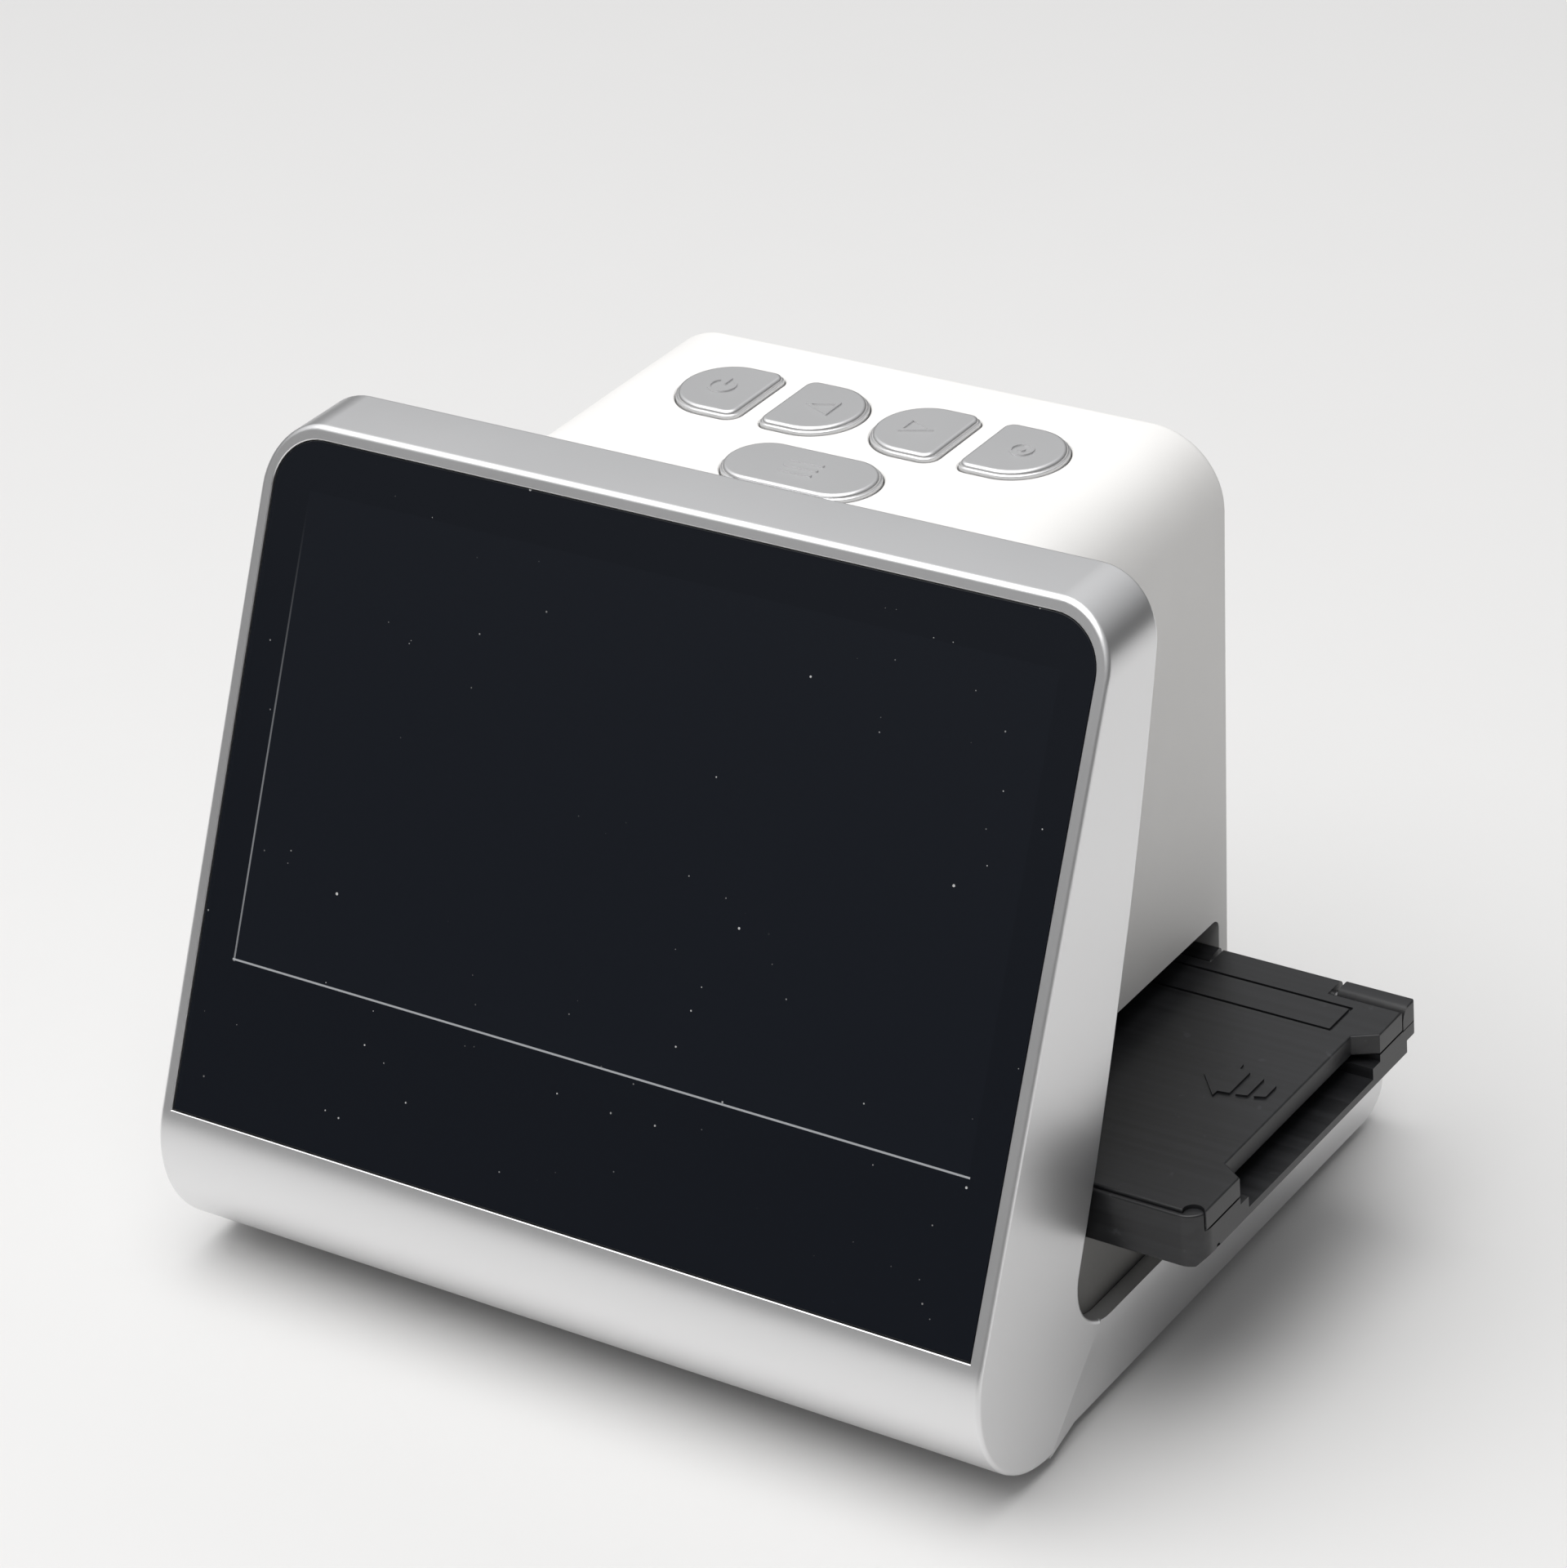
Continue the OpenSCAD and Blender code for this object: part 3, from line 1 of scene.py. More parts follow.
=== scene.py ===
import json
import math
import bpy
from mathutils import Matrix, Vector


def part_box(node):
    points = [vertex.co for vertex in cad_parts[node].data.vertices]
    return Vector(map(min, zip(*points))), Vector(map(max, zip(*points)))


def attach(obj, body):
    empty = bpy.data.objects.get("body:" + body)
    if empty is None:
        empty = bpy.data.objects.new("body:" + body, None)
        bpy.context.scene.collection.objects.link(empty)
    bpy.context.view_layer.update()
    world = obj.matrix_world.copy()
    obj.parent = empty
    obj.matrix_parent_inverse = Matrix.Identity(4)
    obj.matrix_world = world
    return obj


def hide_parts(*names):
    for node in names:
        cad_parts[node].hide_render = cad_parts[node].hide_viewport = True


bl_info = {
    "name": "Film scanner",
    "version": (1, 0, 0),
    "blender": (4, 5, 0),
    "location": "3D View > Sidebar > Scanner",
    "description": "Dresses the packed film scanner with its shells, glass, buttons and holder",
    "category": "Object",
}

import bmesh
import bpy
from bpy.props import FloatProperty, FloatVectorProperty, IntProperty, PointerProperty
from mathutils import Matrix, Vector

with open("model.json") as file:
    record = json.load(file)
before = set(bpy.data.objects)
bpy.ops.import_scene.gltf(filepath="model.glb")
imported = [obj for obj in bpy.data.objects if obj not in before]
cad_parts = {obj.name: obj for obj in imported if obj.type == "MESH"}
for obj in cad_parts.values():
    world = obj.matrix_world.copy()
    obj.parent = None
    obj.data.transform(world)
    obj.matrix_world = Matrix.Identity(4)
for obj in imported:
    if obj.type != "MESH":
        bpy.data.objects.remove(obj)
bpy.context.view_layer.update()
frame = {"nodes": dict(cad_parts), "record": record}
MM = 0.001

# Driving sizes in millimetres, in the stand's own frame: X from the stand's centre plane,
# Y from the nose, Z from the table.
STAND_W, STAND_D, STAND_H = 128.0, 104.0, 107.8
LEAN, REAR_LEAN, REAR_BOW = math.radians(25.8), math.radians(18.2), 1.9
LEG_TOP, NOSE_R, CORNER_R, EDGE_R, CROOK_R, REAR_R = 10.3, 15.6, 8.5, 0.8, 7.0, 4.0
FOOT_H, RIM_Z, WALL, FACE_T, COVER_T = 1.6, 13.7, 2.5, 3.0, 2.0
GLASS_STRIP, GLASS_T, GLASS_RECESS, GLASS_R, TAPE_T = 1.8, 1.1, 0.2, 7.0, 0.2
LCD_SIDE, LCD_TOP, LCD_FOOT, LCD_X = 5.5, 6.8, 22.0, 0.6
AXIS_X, TOWER_W, TOWER_DRAFT, TOWER_R, TOWER_WALL = 8.2, 86.4, math.radians(2), 10.0, 2.2
DECK_Z, SLOT_Z, SLOT_TOP, SLOT_R = 106.9, 24.9, 37.2, 1.5
HOLDER_L, HOLDER_FRONT, HOLDER_REAR = 140.0, 29.866, 86.566
SLOT_REAR, TOWER_REAR, REAR_DECK_Z = 86.816, 89.916, 13.2
FIT, BOX_T = 0.15, 2.0
PLATE_MARGIN, PLATE_LEDGE, PLATE_T, PAD_H, FOOT_SEAT = 5.5, 3.0, 1.6, 0.6, 0.6
PLATE_HALF = STAND_W / 2 - PLATE_MARGIN
SCREW_R, HEAD_R, HEAD_H, COVER_SCREW_L, PLATE_SCREW_L = 1.0, 1.9, 1.2, 6.0, 7.5
FRAME_Y = (HOLDER_FRONT + HOLDER_REAR) / 2

# The stand's side outline, in (y, z)
NOSE = (NOSE_R, FOOT_H + NOSE_R)
FACE_FOOT = (NOSE[0] - NOSE_R * math.cos(LEAN), NOSE[1] + NOSE_R * math.sin(LEAN))
FACE_LEN = (STAND_H - FACE_FOOT[1]) / math.cos(LEAN)
TOP_FRONT = (FACE_FOOT[0] + FACE_LEN * math.sin(LEAN), STAND_H)
TOP_REAR = (TOP_FRONT[0] + LEG_TOP, STAND_H)
REAR_N = (math.cos(REAR_LEAN), -math.sin(REAR_LEAN))


def rear_y(z):
    """Straight rear line of the leg at a height."""
    return TOP_REAR[0] - (STAND_H - z) * math.tan(REAR_LEAN)


CROOK = (rear_y(RIM_Z + CROOK_R) + CROOK_R / math.cos(REAR_LEAN), RIM_Z + CROOK_R)
CROOK_TOP = (CROOK[0] - CROOK_R * REAR_N[0], CROOK[1] - CROOK_R * REAR_N[1])
EDGE_REACH = EDGE_R / math.tan((math.pi / 2 - REAR_LEAN) / 2)
EDGE = (TOP_REAR[0] - EDGE_REACH, TOP_REAR[1] - EDGE_R)
EDGE_END = (TOP_REAR[0] - EDGE_REACH * math.sin(REAR_LEAN),
            TOP_REAR[1] - EDGE_REACH * math.cos(REAR_LEAN))
MITRE_TOP = (CROOK[0] + CROOK_R * math.cos(math.radians(250)),
             CROOK[1] + CROOK_R * math.sin(math.radians(250)))
MITRE_FOOT = (NOSE[0] - 0.5, FOOT_H)
GLASS_W, GLASS_H = STAND_W - 2 * GLASS_STRIP, FACE_LEN - GLASS_STRIP
LCD_W, LCD_H = GLASS_W - 2 * LCD_SIDE, GLASS_H - LCD_FOOT - LCD_TOP

# From the stand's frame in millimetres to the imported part's frame in metres
HOLDER_OUT = AXIS_X + HOLDER_L / 2 - STAND_W / 2
TO_PART = Matrix.Scale(MM, 4) @ Matrix.Translation((-HOLDER_OUT / 2, -STAND_D / 2, 0))


# --- Sizes and colours a user would change ---

class ShellLooks(bpy.types.PropertyGroup):
    edge: FloatProperty(name="Shell edge", description="Rounding of the silver shell's edges",
                        default=0.6 * MM, unit="LENGTH")
    rim: FloatProperty(name="Rim edge", description="Rounding of the base's edges",
                       default=0.3 * MM, unit="LENGTH")
    tower_edge: FloatProperty(name="Tower edge", description="Rounding of the tower's rear edge",
                              default=1.2 * MM, unit="LENGTH")
    roll: FloatProperty(name="Base roll", description="How far the base's sides roll in below",
                        default=1.3 * MM, unit="LENGTH")
    silver: FloatVectorProperty(name="Silver", description="Silver lacquer", subtype="COLOR",
                                size=4, default=(0.80, 0.80, 0.805, 1))
    white: FloatVectorProperty(name="White", description="White moulded plastic",
                               subtype="COLOR", size=4, default=(0.86, 0.85, 0.835, 1))
    # The light box's dark grey is painted shade: it stands for the shade under the film holder.
    grey: FloatVectorProperty(name="Grey", description="Grey plastic of the light box",
                              subtype="COLOR", size=4, default=(0.16, 0.157, 0.15, 1))
    flake: FloatProperty(name="Flake", description="Strength of the lacquer's metal flake",
                         default=0.3, min=0, max=1)


class ScreenLooks(bpy.types.PropertyGroup):
    glass: FloatVectorProperty(name="Glass", description="Back print of the front glass",
                               subtype="COLOR", size=4, default=(0.0090, 0.0106, 0.0146, 1))
    # The display's edge lines are painted highlights: light caught on the display's edge behind
    # the glass.
    line: FloatProperty(name="Display line", description="Width of the display's edge lines",
                        default=0.26 * MM, unit="LENGTH")
    dust: FloatProperty(name="Dust", description="Amount of dust specks on the glass",
                        default=0.9, min=0, max=1)
    chamfer: FloatProperty(name="Glass edge", description="Polished edge of the front glass",
                           default=0.14 * MM, unit="LENGTH")


class ButtonLooks(bpy.types.PropertyGroup):
    crown: FloatProperty(name="Crown", description="Width of the rounding round a button's face",
                         default=0.55 * MM, unit="LENGTH")
    face: FloatProperty(name="Face", description="How far the button's side stands outside its "
                        "nominal face", default=0.56 * MM, unit="LENGTH")
    icon: FloatProperty(name="Icon height", description="How far the buttons' icons stand up",
                        default=0.18 * MM, unit="LENGTH")


class HolderLooks(bpy.types.PropertyGroup):
    plastic: FloatVectorProperty(name="Plastic", description="Black holder plastic",
                                 subtype="COLOR", size=4, default=(0.0160, 0.0163, 0.0178, 1))
    engraving: FloatProperty(name="Engraving", description="Depth of the frame in the lid",
                             default=0.35 * MM, unit="LENGTH")
    arrow: FloatProperty(name="Arrow", description="How far the arrow stands up from the lid",
                         default=0.3 * MM, unit="LENGTH")
    edge: FloatProperty(name="Holder edge", description="Rounding of tray and lid",
                        default=0.3 * MM, unit="LENGTH")


class FastenerLooks(bpy.types.PropertyGroup):
    sides: IntProperty(name="Sides", description="Facets round a screw or a foot", default=36,
                       min=12, max=64)


class StageLooks(bpy.types.PropertyGroup):
    floor: FloatVectorProperty(name="Floor", description="Pale floor", subtype="COLOR", size=4,
                               default=(0.765, 0.76, 0.755, 1))
    key: FloatProperty(name="Key light", description="Power of the large soft light",
                       default=14.0, min=0, unit="POWER")
    fill: FloatProperty(name="Fill", description="Brightness of the studio round the object",
                        default=0.85, min=0)
    lens: FloatProperty(name="Lens", description="Focal length in millimetres", default=123.43)


# --- Outlines ---

def arc(centre, radius, start, end, steps):
    """Points along an arc, angles in degrees."""
    turn = [math.radians(start + (end - start) * i / steps) for i in range(steps + 1)]
    return [(centre[0] + radius * math.cos(a), centre[1] + radius * math.sin(a)) for a in turn]


def round_rect(w, d, r, centre=(0, 0), steps=6):
    """Rectangle with rounded corners; r is one radius or four, from the +x +y corner round."""
    radii = [r] * 4 if isinstance(r, (int, float)) else r
    points = []
    for k, (sx, sy) in enumerate([(1, 1), (-1, 1), (-1, -1), (1, -1)]):
        c = (centre[0] + sx * (w / 2 - radii[k]), centre[1] + sy * (d / 2 - radii[k]))
        points += arc(c, radii[k], 90 * k, 90 * k + 90, steps)
    return points


def face_at(s, z):
    """Point at s up the screen face and z out of it, in (y, z)."""
    return (FACE_FOOT[0] + s * math.sin(LEAN) - z * math.cos(LEAN),
            FACE_FOOT[1] + s * math.cos(LEAN) + z * math.sin(LEAN))


def cad_box(node):
    """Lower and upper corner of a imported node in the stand's frame."""
    return [TO_PART.inverted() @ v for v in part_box(node)]


def node_outline(node, grow, r, second=1):
    """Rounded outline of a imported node, grown by grow, in X and the second axis."""
    low, high = cad_box(node)
    return round_rect(high[0] - low[0] + 2 * grow, high[second] - low[second] + 2 * grow, r,
                      ((low[0] + high[0]) / 2, (low[second] + high[second]) / 2))


def rear_line(off):
    """The leg's bowed rear line from the top edge down to the crook, moved out by off."""
    line, steps = [], 26
    for i in range(steps + 1):
        t = 1 - i / steps
        out = REAR_BOW * 4 * t * (1 - t) + off
        line.append(tuple(CROOK_TOP[k] + (EDGE_END[k] - CROOK_TOP[k]) * t + REAR_N[k] * out
                          for k in range(2)))
    return line


def rear_out(z):
    """Height of the bow at a height, measured along Y."""
    t = (z - CROOK_TOP[1]) / (EDGE_END[1] - CROOK_TOP[1])
    return REAR_BOW * 4 * t * (1 - t) / math.cos(REAR_LEAN)


def stand_outline():
    """The V seen from the side, in (y, z), from the nose round to the rear wall."""
    face, rear = 180 - math.degrees(LEAN), 180 - math.degrees(REAR_LEAN)
    return (arc(NOSE, NOSE_R, 270, 180, 30) + arc(NOSE, NOSE_R, 180, face, 8)[1:]
            + [TOP_FRONT, TOP_REAR] + rear_line(0)[1:] + arc(CROOK, CROOK_R, rear, 270, 12)[1:]
            + [(STAND_D, RIM_Z)]
            + arc((STAND_D - REAR_R, FOOT_H + REAR_R), REAR_R, 0, -90, 8))


def stand_cavity():
    """The hollow inside the V, in (y, z)."""
    foot = (FACE_FOOT[0] + FACE_T * math.cos(LEAN), FACE_FOOT[1] - FACE_T * math.sin(LEAN))
    rise = STAND_H - WALL - foot[1]
    return (arc(NOSE, NOSE_R - FACE_T, 270, 180 - math.degrees(LEAN), 24)
            + [(foot[0] + rise * math.tan(LEAN), foot[1] + rise),
               (STAND_D - WALL, STAND_H - WALL), (STAND_D - WALL, FOOT_H + FACE_T)])


def mitre_front():
    """Everything in front of the mitre between leg and base."""
    d = Vector((MITRE_TOP[0] - MITRE_FOOT[0], MITRE_TOP[1] - MITRE_FOOT[1])).normalized()
    low = Vector(MITRE_FOOT) - 60 * d
    high = Vector(MITRE_TOP) + 140 * d
    return [tuple(low), tuple(high), (-60, STAND_H + 60), (-60, -60)]


def arch(w, foot, h, r, steps):
    """Outline of half width w, square at the foot and round above."""
    return ([(-w, foot), (w, foot)] + arc((w - r, h - r), r, 0, 90, steps)
            + arc((r - w, h - r), r, 90, 180, steps))


def top_shape(inset):
    """Front view of the stand with its two round upper corners."""
    return arch(STAND_W / 2 - inset, -1, STAND_H - inset, CORNER_R - inset, 14)


def glass_outline(inset):
    """The glass in the screen face's frame."""
    return arch(GLASS_W / 2 - inset, inset, GLASS_H - inset, GLASS_R - inset, 12)


def tower_half(z, inset):
    """Half the tower's width at a height."""
    return TOWER_W / 2 - (DECK_Z - z) * math.tan(TOWER_DRAFT) - inset


def tower_profile(inset, z0):
    """The tower seen from the front, in (x, z)."""
    r = TOWER_R - inset
    cz = DECK_Z - inset - r
    cx = tower_half(cz, inset) - r / math.cos(TOWER_DRAFT)
    draft = math.degrees(TOWER_DRAFT)
    return ([(AXIS_X - tower_half(z0, inset), z0), (AXIS_X + tower_half(z0, inset), z0)]
            + arc((AXIS_X + cx, cz), r, -draft, 90, 18)
            + arc((AXIS_X - cx, cz), r, 90, 180 + draft, 18))


def leg_zone(off):
    """The leg's own space, grown by off, that tower and light box stay out of."""
    return ([(-40, STAND_H + 20), (EDGE[0], STAND_H + 20)]
            + arc(EDGE, EDGE_R + off, 90, -math.degrees(REAR_LEAN), 6) + rear_line(off)[1:]
            + [(rear_y(0) + off / math.cos(REAR_LEAN), 0), (-40, 0)])


# --- Making meshes ---

def mesh_object(name, points, faces):
    mesh = bpy.data.meshes.new(name)
    mesh.from_pydata([tuple(p) for p in points], [], faces)
    shape = bmesh.new()
    shape.from_mesh(mesh)
    bmesh.ops.recalc_face_normals(shape, faces=shape.faces)
    shape.to_mesh(mesh)
    shape.free()
    obj = bpy.data.objects.new(name, mesh)
    bpy.context.scene.collection.objects.link(obj)
    return obj


def loft(name, rings):
    """Closed solid through rings of points, every ring with the same number of them."""
    n = len(rings[0])
    points = [p for ring in rings for p in ring]
    faces = [tuple(range(n)), tuple(range(len(points) - n, len(points)))]
    for k in range(len(rings) - 1):
        for i in range(n):
            j = (i + 1) % n
            faces.append((k * n + i, k * n + j, (k + 1) * n + j, (k + 1) * n + i))
    return mesh_object(name, points, faces)


PLACES = {"X": lambda p, h: (h, p[0], p[1]), "Y": lambda p, h: (p[0], h, p[1]),
          "Z": lambda p, h: (p[0], p[1], h),
          "FACE": lambda p, h: (p[0],) + face_at(p[1], h)}


def stack(name, layers, axis="Z"):
    """Loft of (outline, height) layers along an axis, or out of the screen face."""
    return loft(name, [[PLACES[axis](p, h) for p in outline] for outline, h in layers])


def prism(name, outline, low, high, axis):
    return stack(name, [(outline, low), (outline, high)], axis)


def block(name, low, high):
    return prism(name, [(low[0], low[1]), (high[0], low[1]), (high[0], high[1]),
                        (low[0], high[1])], low[2], high[2], "Z")


def rod(name, centre, radius, low, high, axis="Z", steps=32):
    return prism(name, arc(centre, radius, 0, 360, steps)[:-1], low, high, axis)


def settle(obj):
    """Turns an object's modifiers into its mesh."""
    graph = bpy.context.evaluated_depsgraph_get()
    mesh = bpy.data.meshes.new_from_object(obj.evaluated_get(graph),
                                           preserve_all_data_layers=True, depsgraph=graph)
    obj.modifiers.clear()
    old = obj.data
    obj.data = mesh
    bpy.data.meshes.remove(old)
    return obj


def combine(obj, operation, *tools):
    """Cuts, joins or crosses obj with other solids, which are used up."""
    for tool in tools:
        step = obj.modifiers.new("combine", "BOOLEAN")
        step.operation, step.solver, step.object = operation, "EXACT", tool
    settle(obj)
    for tool in tools:
        bpy.data.objects.remove(tool)
    return obj


def carve(obj, *tools):
    return combine(obj, "DIFFERENCE", *tools)


def soften(obj, width, segments=3, angle=35):
    """Rounds every edge sharper than angle."""
    tidy_faces(obj)
    step = obj.modifiers.new("edges", "BEVEL")
    step.width, step.segments, step.limit_method = width, segments, "ANGLE"
    step.angle_limit, step.use_clamp_overlap = math.radians(angle), True
    return settle(obj)


def tidy_faces(obj):
    """Merges doubled points and flat neighbours, so that edges can be rounded evenly."""
    shape = bmesh.new()
    shape.from_mesh(obj.data)
    bmesh.ops.remove_doubles(shape, verts=shape.verts, dist=1e-4)
    bmesh.ops.dissolve_limit(shape, angle_limit=math.radians(0.4), verts=shape.verts,
                             edges=shape.edges)
    shape.to_mesh(obj.data)
    shape.free()


def finish(obj, body, slot, node):
    """Puts a piece in the part's frame with its shading, its finish, its body and its node."""
    obj.data.transform(TO_PART)
    obj.data.shade_smooth()
    obj.data.set_sharp_from_angle(angle=math.radians(32))
    step = obj.modifiers.new("shading", "WEIGHTED_NORMAL")
    step.keep_sharp, step.weight = True, 50
    settle(obj)
    obj.data.materials.clear()
    obj.data.materials.append(finish_of(slot))
    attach(obj, body)
    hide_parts(node)


# --- Materials ---

# The first tone is the painted highlight along the display's edges, the second the dust's own
# colour.
EDGE_GLINT_TONE, DUST_TONE = (0.42, 0.43, 0.45, 1), (0.55, 0.55, 0.55, 1)

class Wire:
    """A value socket that takes part in Python arithmetic."""

    def __init__(self, nodes, socket):
        self.nodes, self.socket = nodes, socket

    def maths(self, operation, *values):
        return self.nodes.node("ShaderNodeMath", {"operation": operation},
                               dict(enumerate(values)))

    def __add__(self, other): return self.maths("ADD", self, other)
    def __radd__(self, other): return self.maths("ADD", other, self)
    def __sub__(self, other): return self.maths("SUBTRACT", self, other)
    def __rsub__(self, other): return self.maths("SUBTRACT", other, self)
    def __mul__(self, other): return self.maths("MULTIPLY", self, other)
    def __rmul__(self, other): return self.maths("MULTIPLY", other, self)
    def __gt__(self, other): return self.maths("GREATER_THAN", self, other)
    def __lt__(self, other): return self.maths("LESS_THAN", self, other)
    def __abs__(self): return self.maths("ABSOLUTE", self)

    def fellows(self):
        """Every output of the node that this one belongs to."""
        return [Wire(self.nodes, socket) for socket in self.socket.node.outputs]

    def ramp(self, low, high):
        """0 below low, 1 above high, smooth between."""
        return self.nodes.node("ShaderNodeMapRange", {"interpolation_type": "SMOOTHSTEP"},
                               {"Value": self, "From Min": low, "From Max": high})


class Nodes:
    """Adds nodes to one tree."""

    def __init__(self, tree):
        self.tree = tree

    def node(self, kind, settings, sockets, output=0):
        """Adds a node: its settings first, then the values or links of its sockets."""
        made = self.tree.nodes.new(kind)
        for key, value in settings.items():
            setattr(made, key, value)
        for key, value in sockets.items():
            self.feed(made.inputs[key], value)
        return None if output is None else Wire(self, made.outputs[output])

    def feed(self, socket, value):
        """Sets a socket, or links a wire or a list of wires to it."""
        for one in value if isinstance(value, list) else [value]:
            if isinstance(one, Wire):
                self.tree.links.new(one.socket, socket)
            else:
                socket.default_value = one

    def parts(self, vector):
        """The three numbers of a vector."""
        return self.node("ShaderNodeSeparateXYZ", {}, {0: vector}).fellows()


class Paint(Nodes):
    """Builds one material's nodes."""

    def __init__(self, name):
        self.material = bpy.data.materials.new(name)
        self.material.use_nodes = True
        super().__init__(self.material.node_tree)
        self.tree.nodes.clear()
        self.place = self.node("ShaderNodeTexCoord", {}, {}, "Object")

    def set(self, **sockets):
        """Adds the surface shader, underscores for spaces in its sockets' names, and gives the
        material."""
        shader = self.node("ShaderNodeBsdfPrincipled", {},
                           {key.replace("_", " "): value for key, value in sockets.items()})
        self.node("ShaderNodeOutputMaterial", {}, {"Surface": shader}, None)
        return self.material

    def noise(self, scale, detail, stretch=(1, 1, 1), offset=(0, 0, 0)):
        """Noise from 0 to 1; scale counts features per metre."""
        at = self.node("ShaderNodeMapping", {}, {"Vector": self.place, "Scale": stretch,
                                                 "Location": offset})
        return self.node("ShaderNodeTexNoise", {}, {"Vector": at, "Scale": scale,
                                                    "Detail": detail})

    def specks(self, scale, radius, share):
        """Dots of a radius in cells, on a share of the cells."""
        cells = {"Vector": self.place, "Scale": scale, "Randomness": 1.0}
        near = self.node("ShaderNodeTexVoronoi", {}, cells)
        pick = self.node("ShaderNodeTexVoronoi", {}, cells, 1)
        chance, size, _ = self.parts(pick)
        return (near < radius * (0.4 + size)) * (chance < share)

    def mix(self, factor, first, second):
        """Mixes two colours."""
        return self.node("ShaderNodeMix", {"data_type": "RGBA"},
                         {0: factor, 6: first, 7: second}, 2)

    def bump(self, height, distance, strength):
        return self.node("ShaderNodeBump", {}, {"Height": height, "Distance": distance,
                                                "Strength": strength})


def shade(colour, factor):
    """A colour made darker or lighter, opaque."""
    return tuple(min(c * factor, 1.0) for c in colour[:3]) + (1.0,)


def silver_lacquer(name, colour, roughness, flake):
    """Metal flake in clear lacquer over moulded plastic."""
    paint = Paint(name)
    cloud = paint.noise(45, 3)
    grain = paint.noise(9000, 1)
    swell = paint.noise(160, 2)
    tone = paint.mix(cloud * 0.8 + grain * 0.2, shade(colour, 0.985), shade(colour, 1.015))
    return paint.set(Base_Color=tone, Metallic=0.9,
                     Roughness=roughness + (cloud - 0.5) * 0.05 + (grain - 0.5) * 0.02,
                     Normal=paint.bump(swell, 0.000004, flake), Coat_Weight=0.15,
                     Coat_Roughness=0.2)


def moulded_plastic(name, colour, roughness, grain, scale=1800, coat=0.0):
    """Moulded plastic with a fine spark texture and faint tone shifts."""
    paint = Paint(name)
    cloud = paint.noise(30, 4)
    fine = paint.noise(scale, 3)
    tone = paint.mix(cloud.ramp(0.3, 0.7), shade(colour, 0.965), shade(colour, 1.02))
    return paint.set(Base_Color=tone, Roughness=roughness + (fine - 0.5) * 0.10,
                     Normal=paint.bump(fine, 0.00005, grain), Coat_Weight=coat,
                     Coat_Roughness=0.2)


def brushed_plastic(name, colour):
    """Black holder plastic: satin, with faint streaks along its length and dust."""
    paint = Paint(name)
    streak = paint.noise(900, 4, (0.02, 1, 1))
    fine = paint.noise(1500, 3)
    dust = paint.noise(420, 5, offset=(0.3, 0.1, 0)).ramp(0.66, 0.74)
    tone = paint.mix(streak.ramp(0.3, 0.7), shade(colour, 0.8), shade(colour, 1.35))
    dusty = paint.mix(dust * 0.35, tone, shade(colour, 5))
    relief = streak * 0.6 + fine * 0.4
    return paint.set(Base_Color=dusty, Roughness=0.34 + (streak - 0.5) * 0.16 + dust * 0.1,
                     Normal=paint.bump(relief, 0.00005, 0.25))


def black_glass(name, looks):
    """Back-printed glass with painted highlights as fine lines along the display's foot and left
    edge, and a little dust.
    """
    paint = Paint(name)
    x, y, z = paint.parts(paint.place)
    across = x - (LCD_X - HOLDER_OUT / 2) * MM
    foot_y, foot_z = (FACE_FOOT[0] - STAND_D / 2) * MM, FACE_FOOT[1] * MM
    up = (y - foot_y) * math.sin(LEAN) + (z - foot_z) * math.cos(LEAN) - LCD_FOOT * MM
    half, high, line = LCD_W / 2 * MM, LCD_H * MM, looks.line
    inside_x = half - abs(across)
    inside = (inside_x > 0) * (up > 0) * (high - up > 0)
    # Painted highlights: bright fine lines along the display's foot and left edge, the left one
    # fading upwards.
    foot_glint = (abs(up) < line / 2) * (inside_x > -line)
    left = (abs(across + half) < line / 2) * (up > -line) * (high - up > 0)
    left_glint = left * (1 - up.ramp(0.2 * high, high)) * 0.5
    lines = foot_glint * 0.9 + left_glint
    patch = paint.noise(26, 3, offset=(0.2, 0.5, 0.1)).ramp(0.40, 0.60)
    dust = (paint.specks(420, 0.042, 0.8) * patch + paint.specks(200, 0.030, 0.6)) * looks.dust
    smear = paint.noise(26, 4, offset=(0.9, 0.1, 0.6))
    glass = paint.mix(inside * 0.6, looks.glass, shade(looks.glass, 1.2))
    glinted = paint.mix(lines, glass, EDGE_GLINT_TONE)
    dusty = paint.mix(dust, glinted, DUST_TONE)
    return paint.set(Base_Color=dusty, Roughness=0.05 + smear.ramp(0.45, 0.8) * 0.05
                     + dust * 0.5 + lines * 0.2, IOR=1.45, Specular_IOR_Level=0.35)


def circuit_board(name):
    """Green solder mask with copper tracks showing through."""
    paint = Paint(name)
    track = paint.node("ShaderNodeTexBrick", {}, {"Vector": paint.place, "Scale": 130.0,
                                                  "Mortar Size": 0.03}, 1)
    cloud = paint.noise(60, 3)
    tone = paint.mix(track * 0.5, (0.012, 0.10, 0.045, 1), (0.03, 0.20, 0.09, 1))
    return paint.set(Base_Color=paint.mix(cloud * 0.2, tone, (0.02, 0.14, 0.06, 1)),
                     Roughness=0.35 + cloud * 0.1,
                     Normal=paint.bump(track, 0.00003, 0.3))


def brushed_steel(name):
    """Plated steel with fine streaks."""
    paint = Paint(name)
    streak = paint.noise(1400, 4, (0.05, 1, 1))
    tone = paint.mix(streak, (0.44, 0.44, 0.45, 1), (0.62, 0.62, 0.63, 1))
    return paint.set(Base_Color=tone, Metallic=1.0, Roughness=0.24 + streak * 0.18)


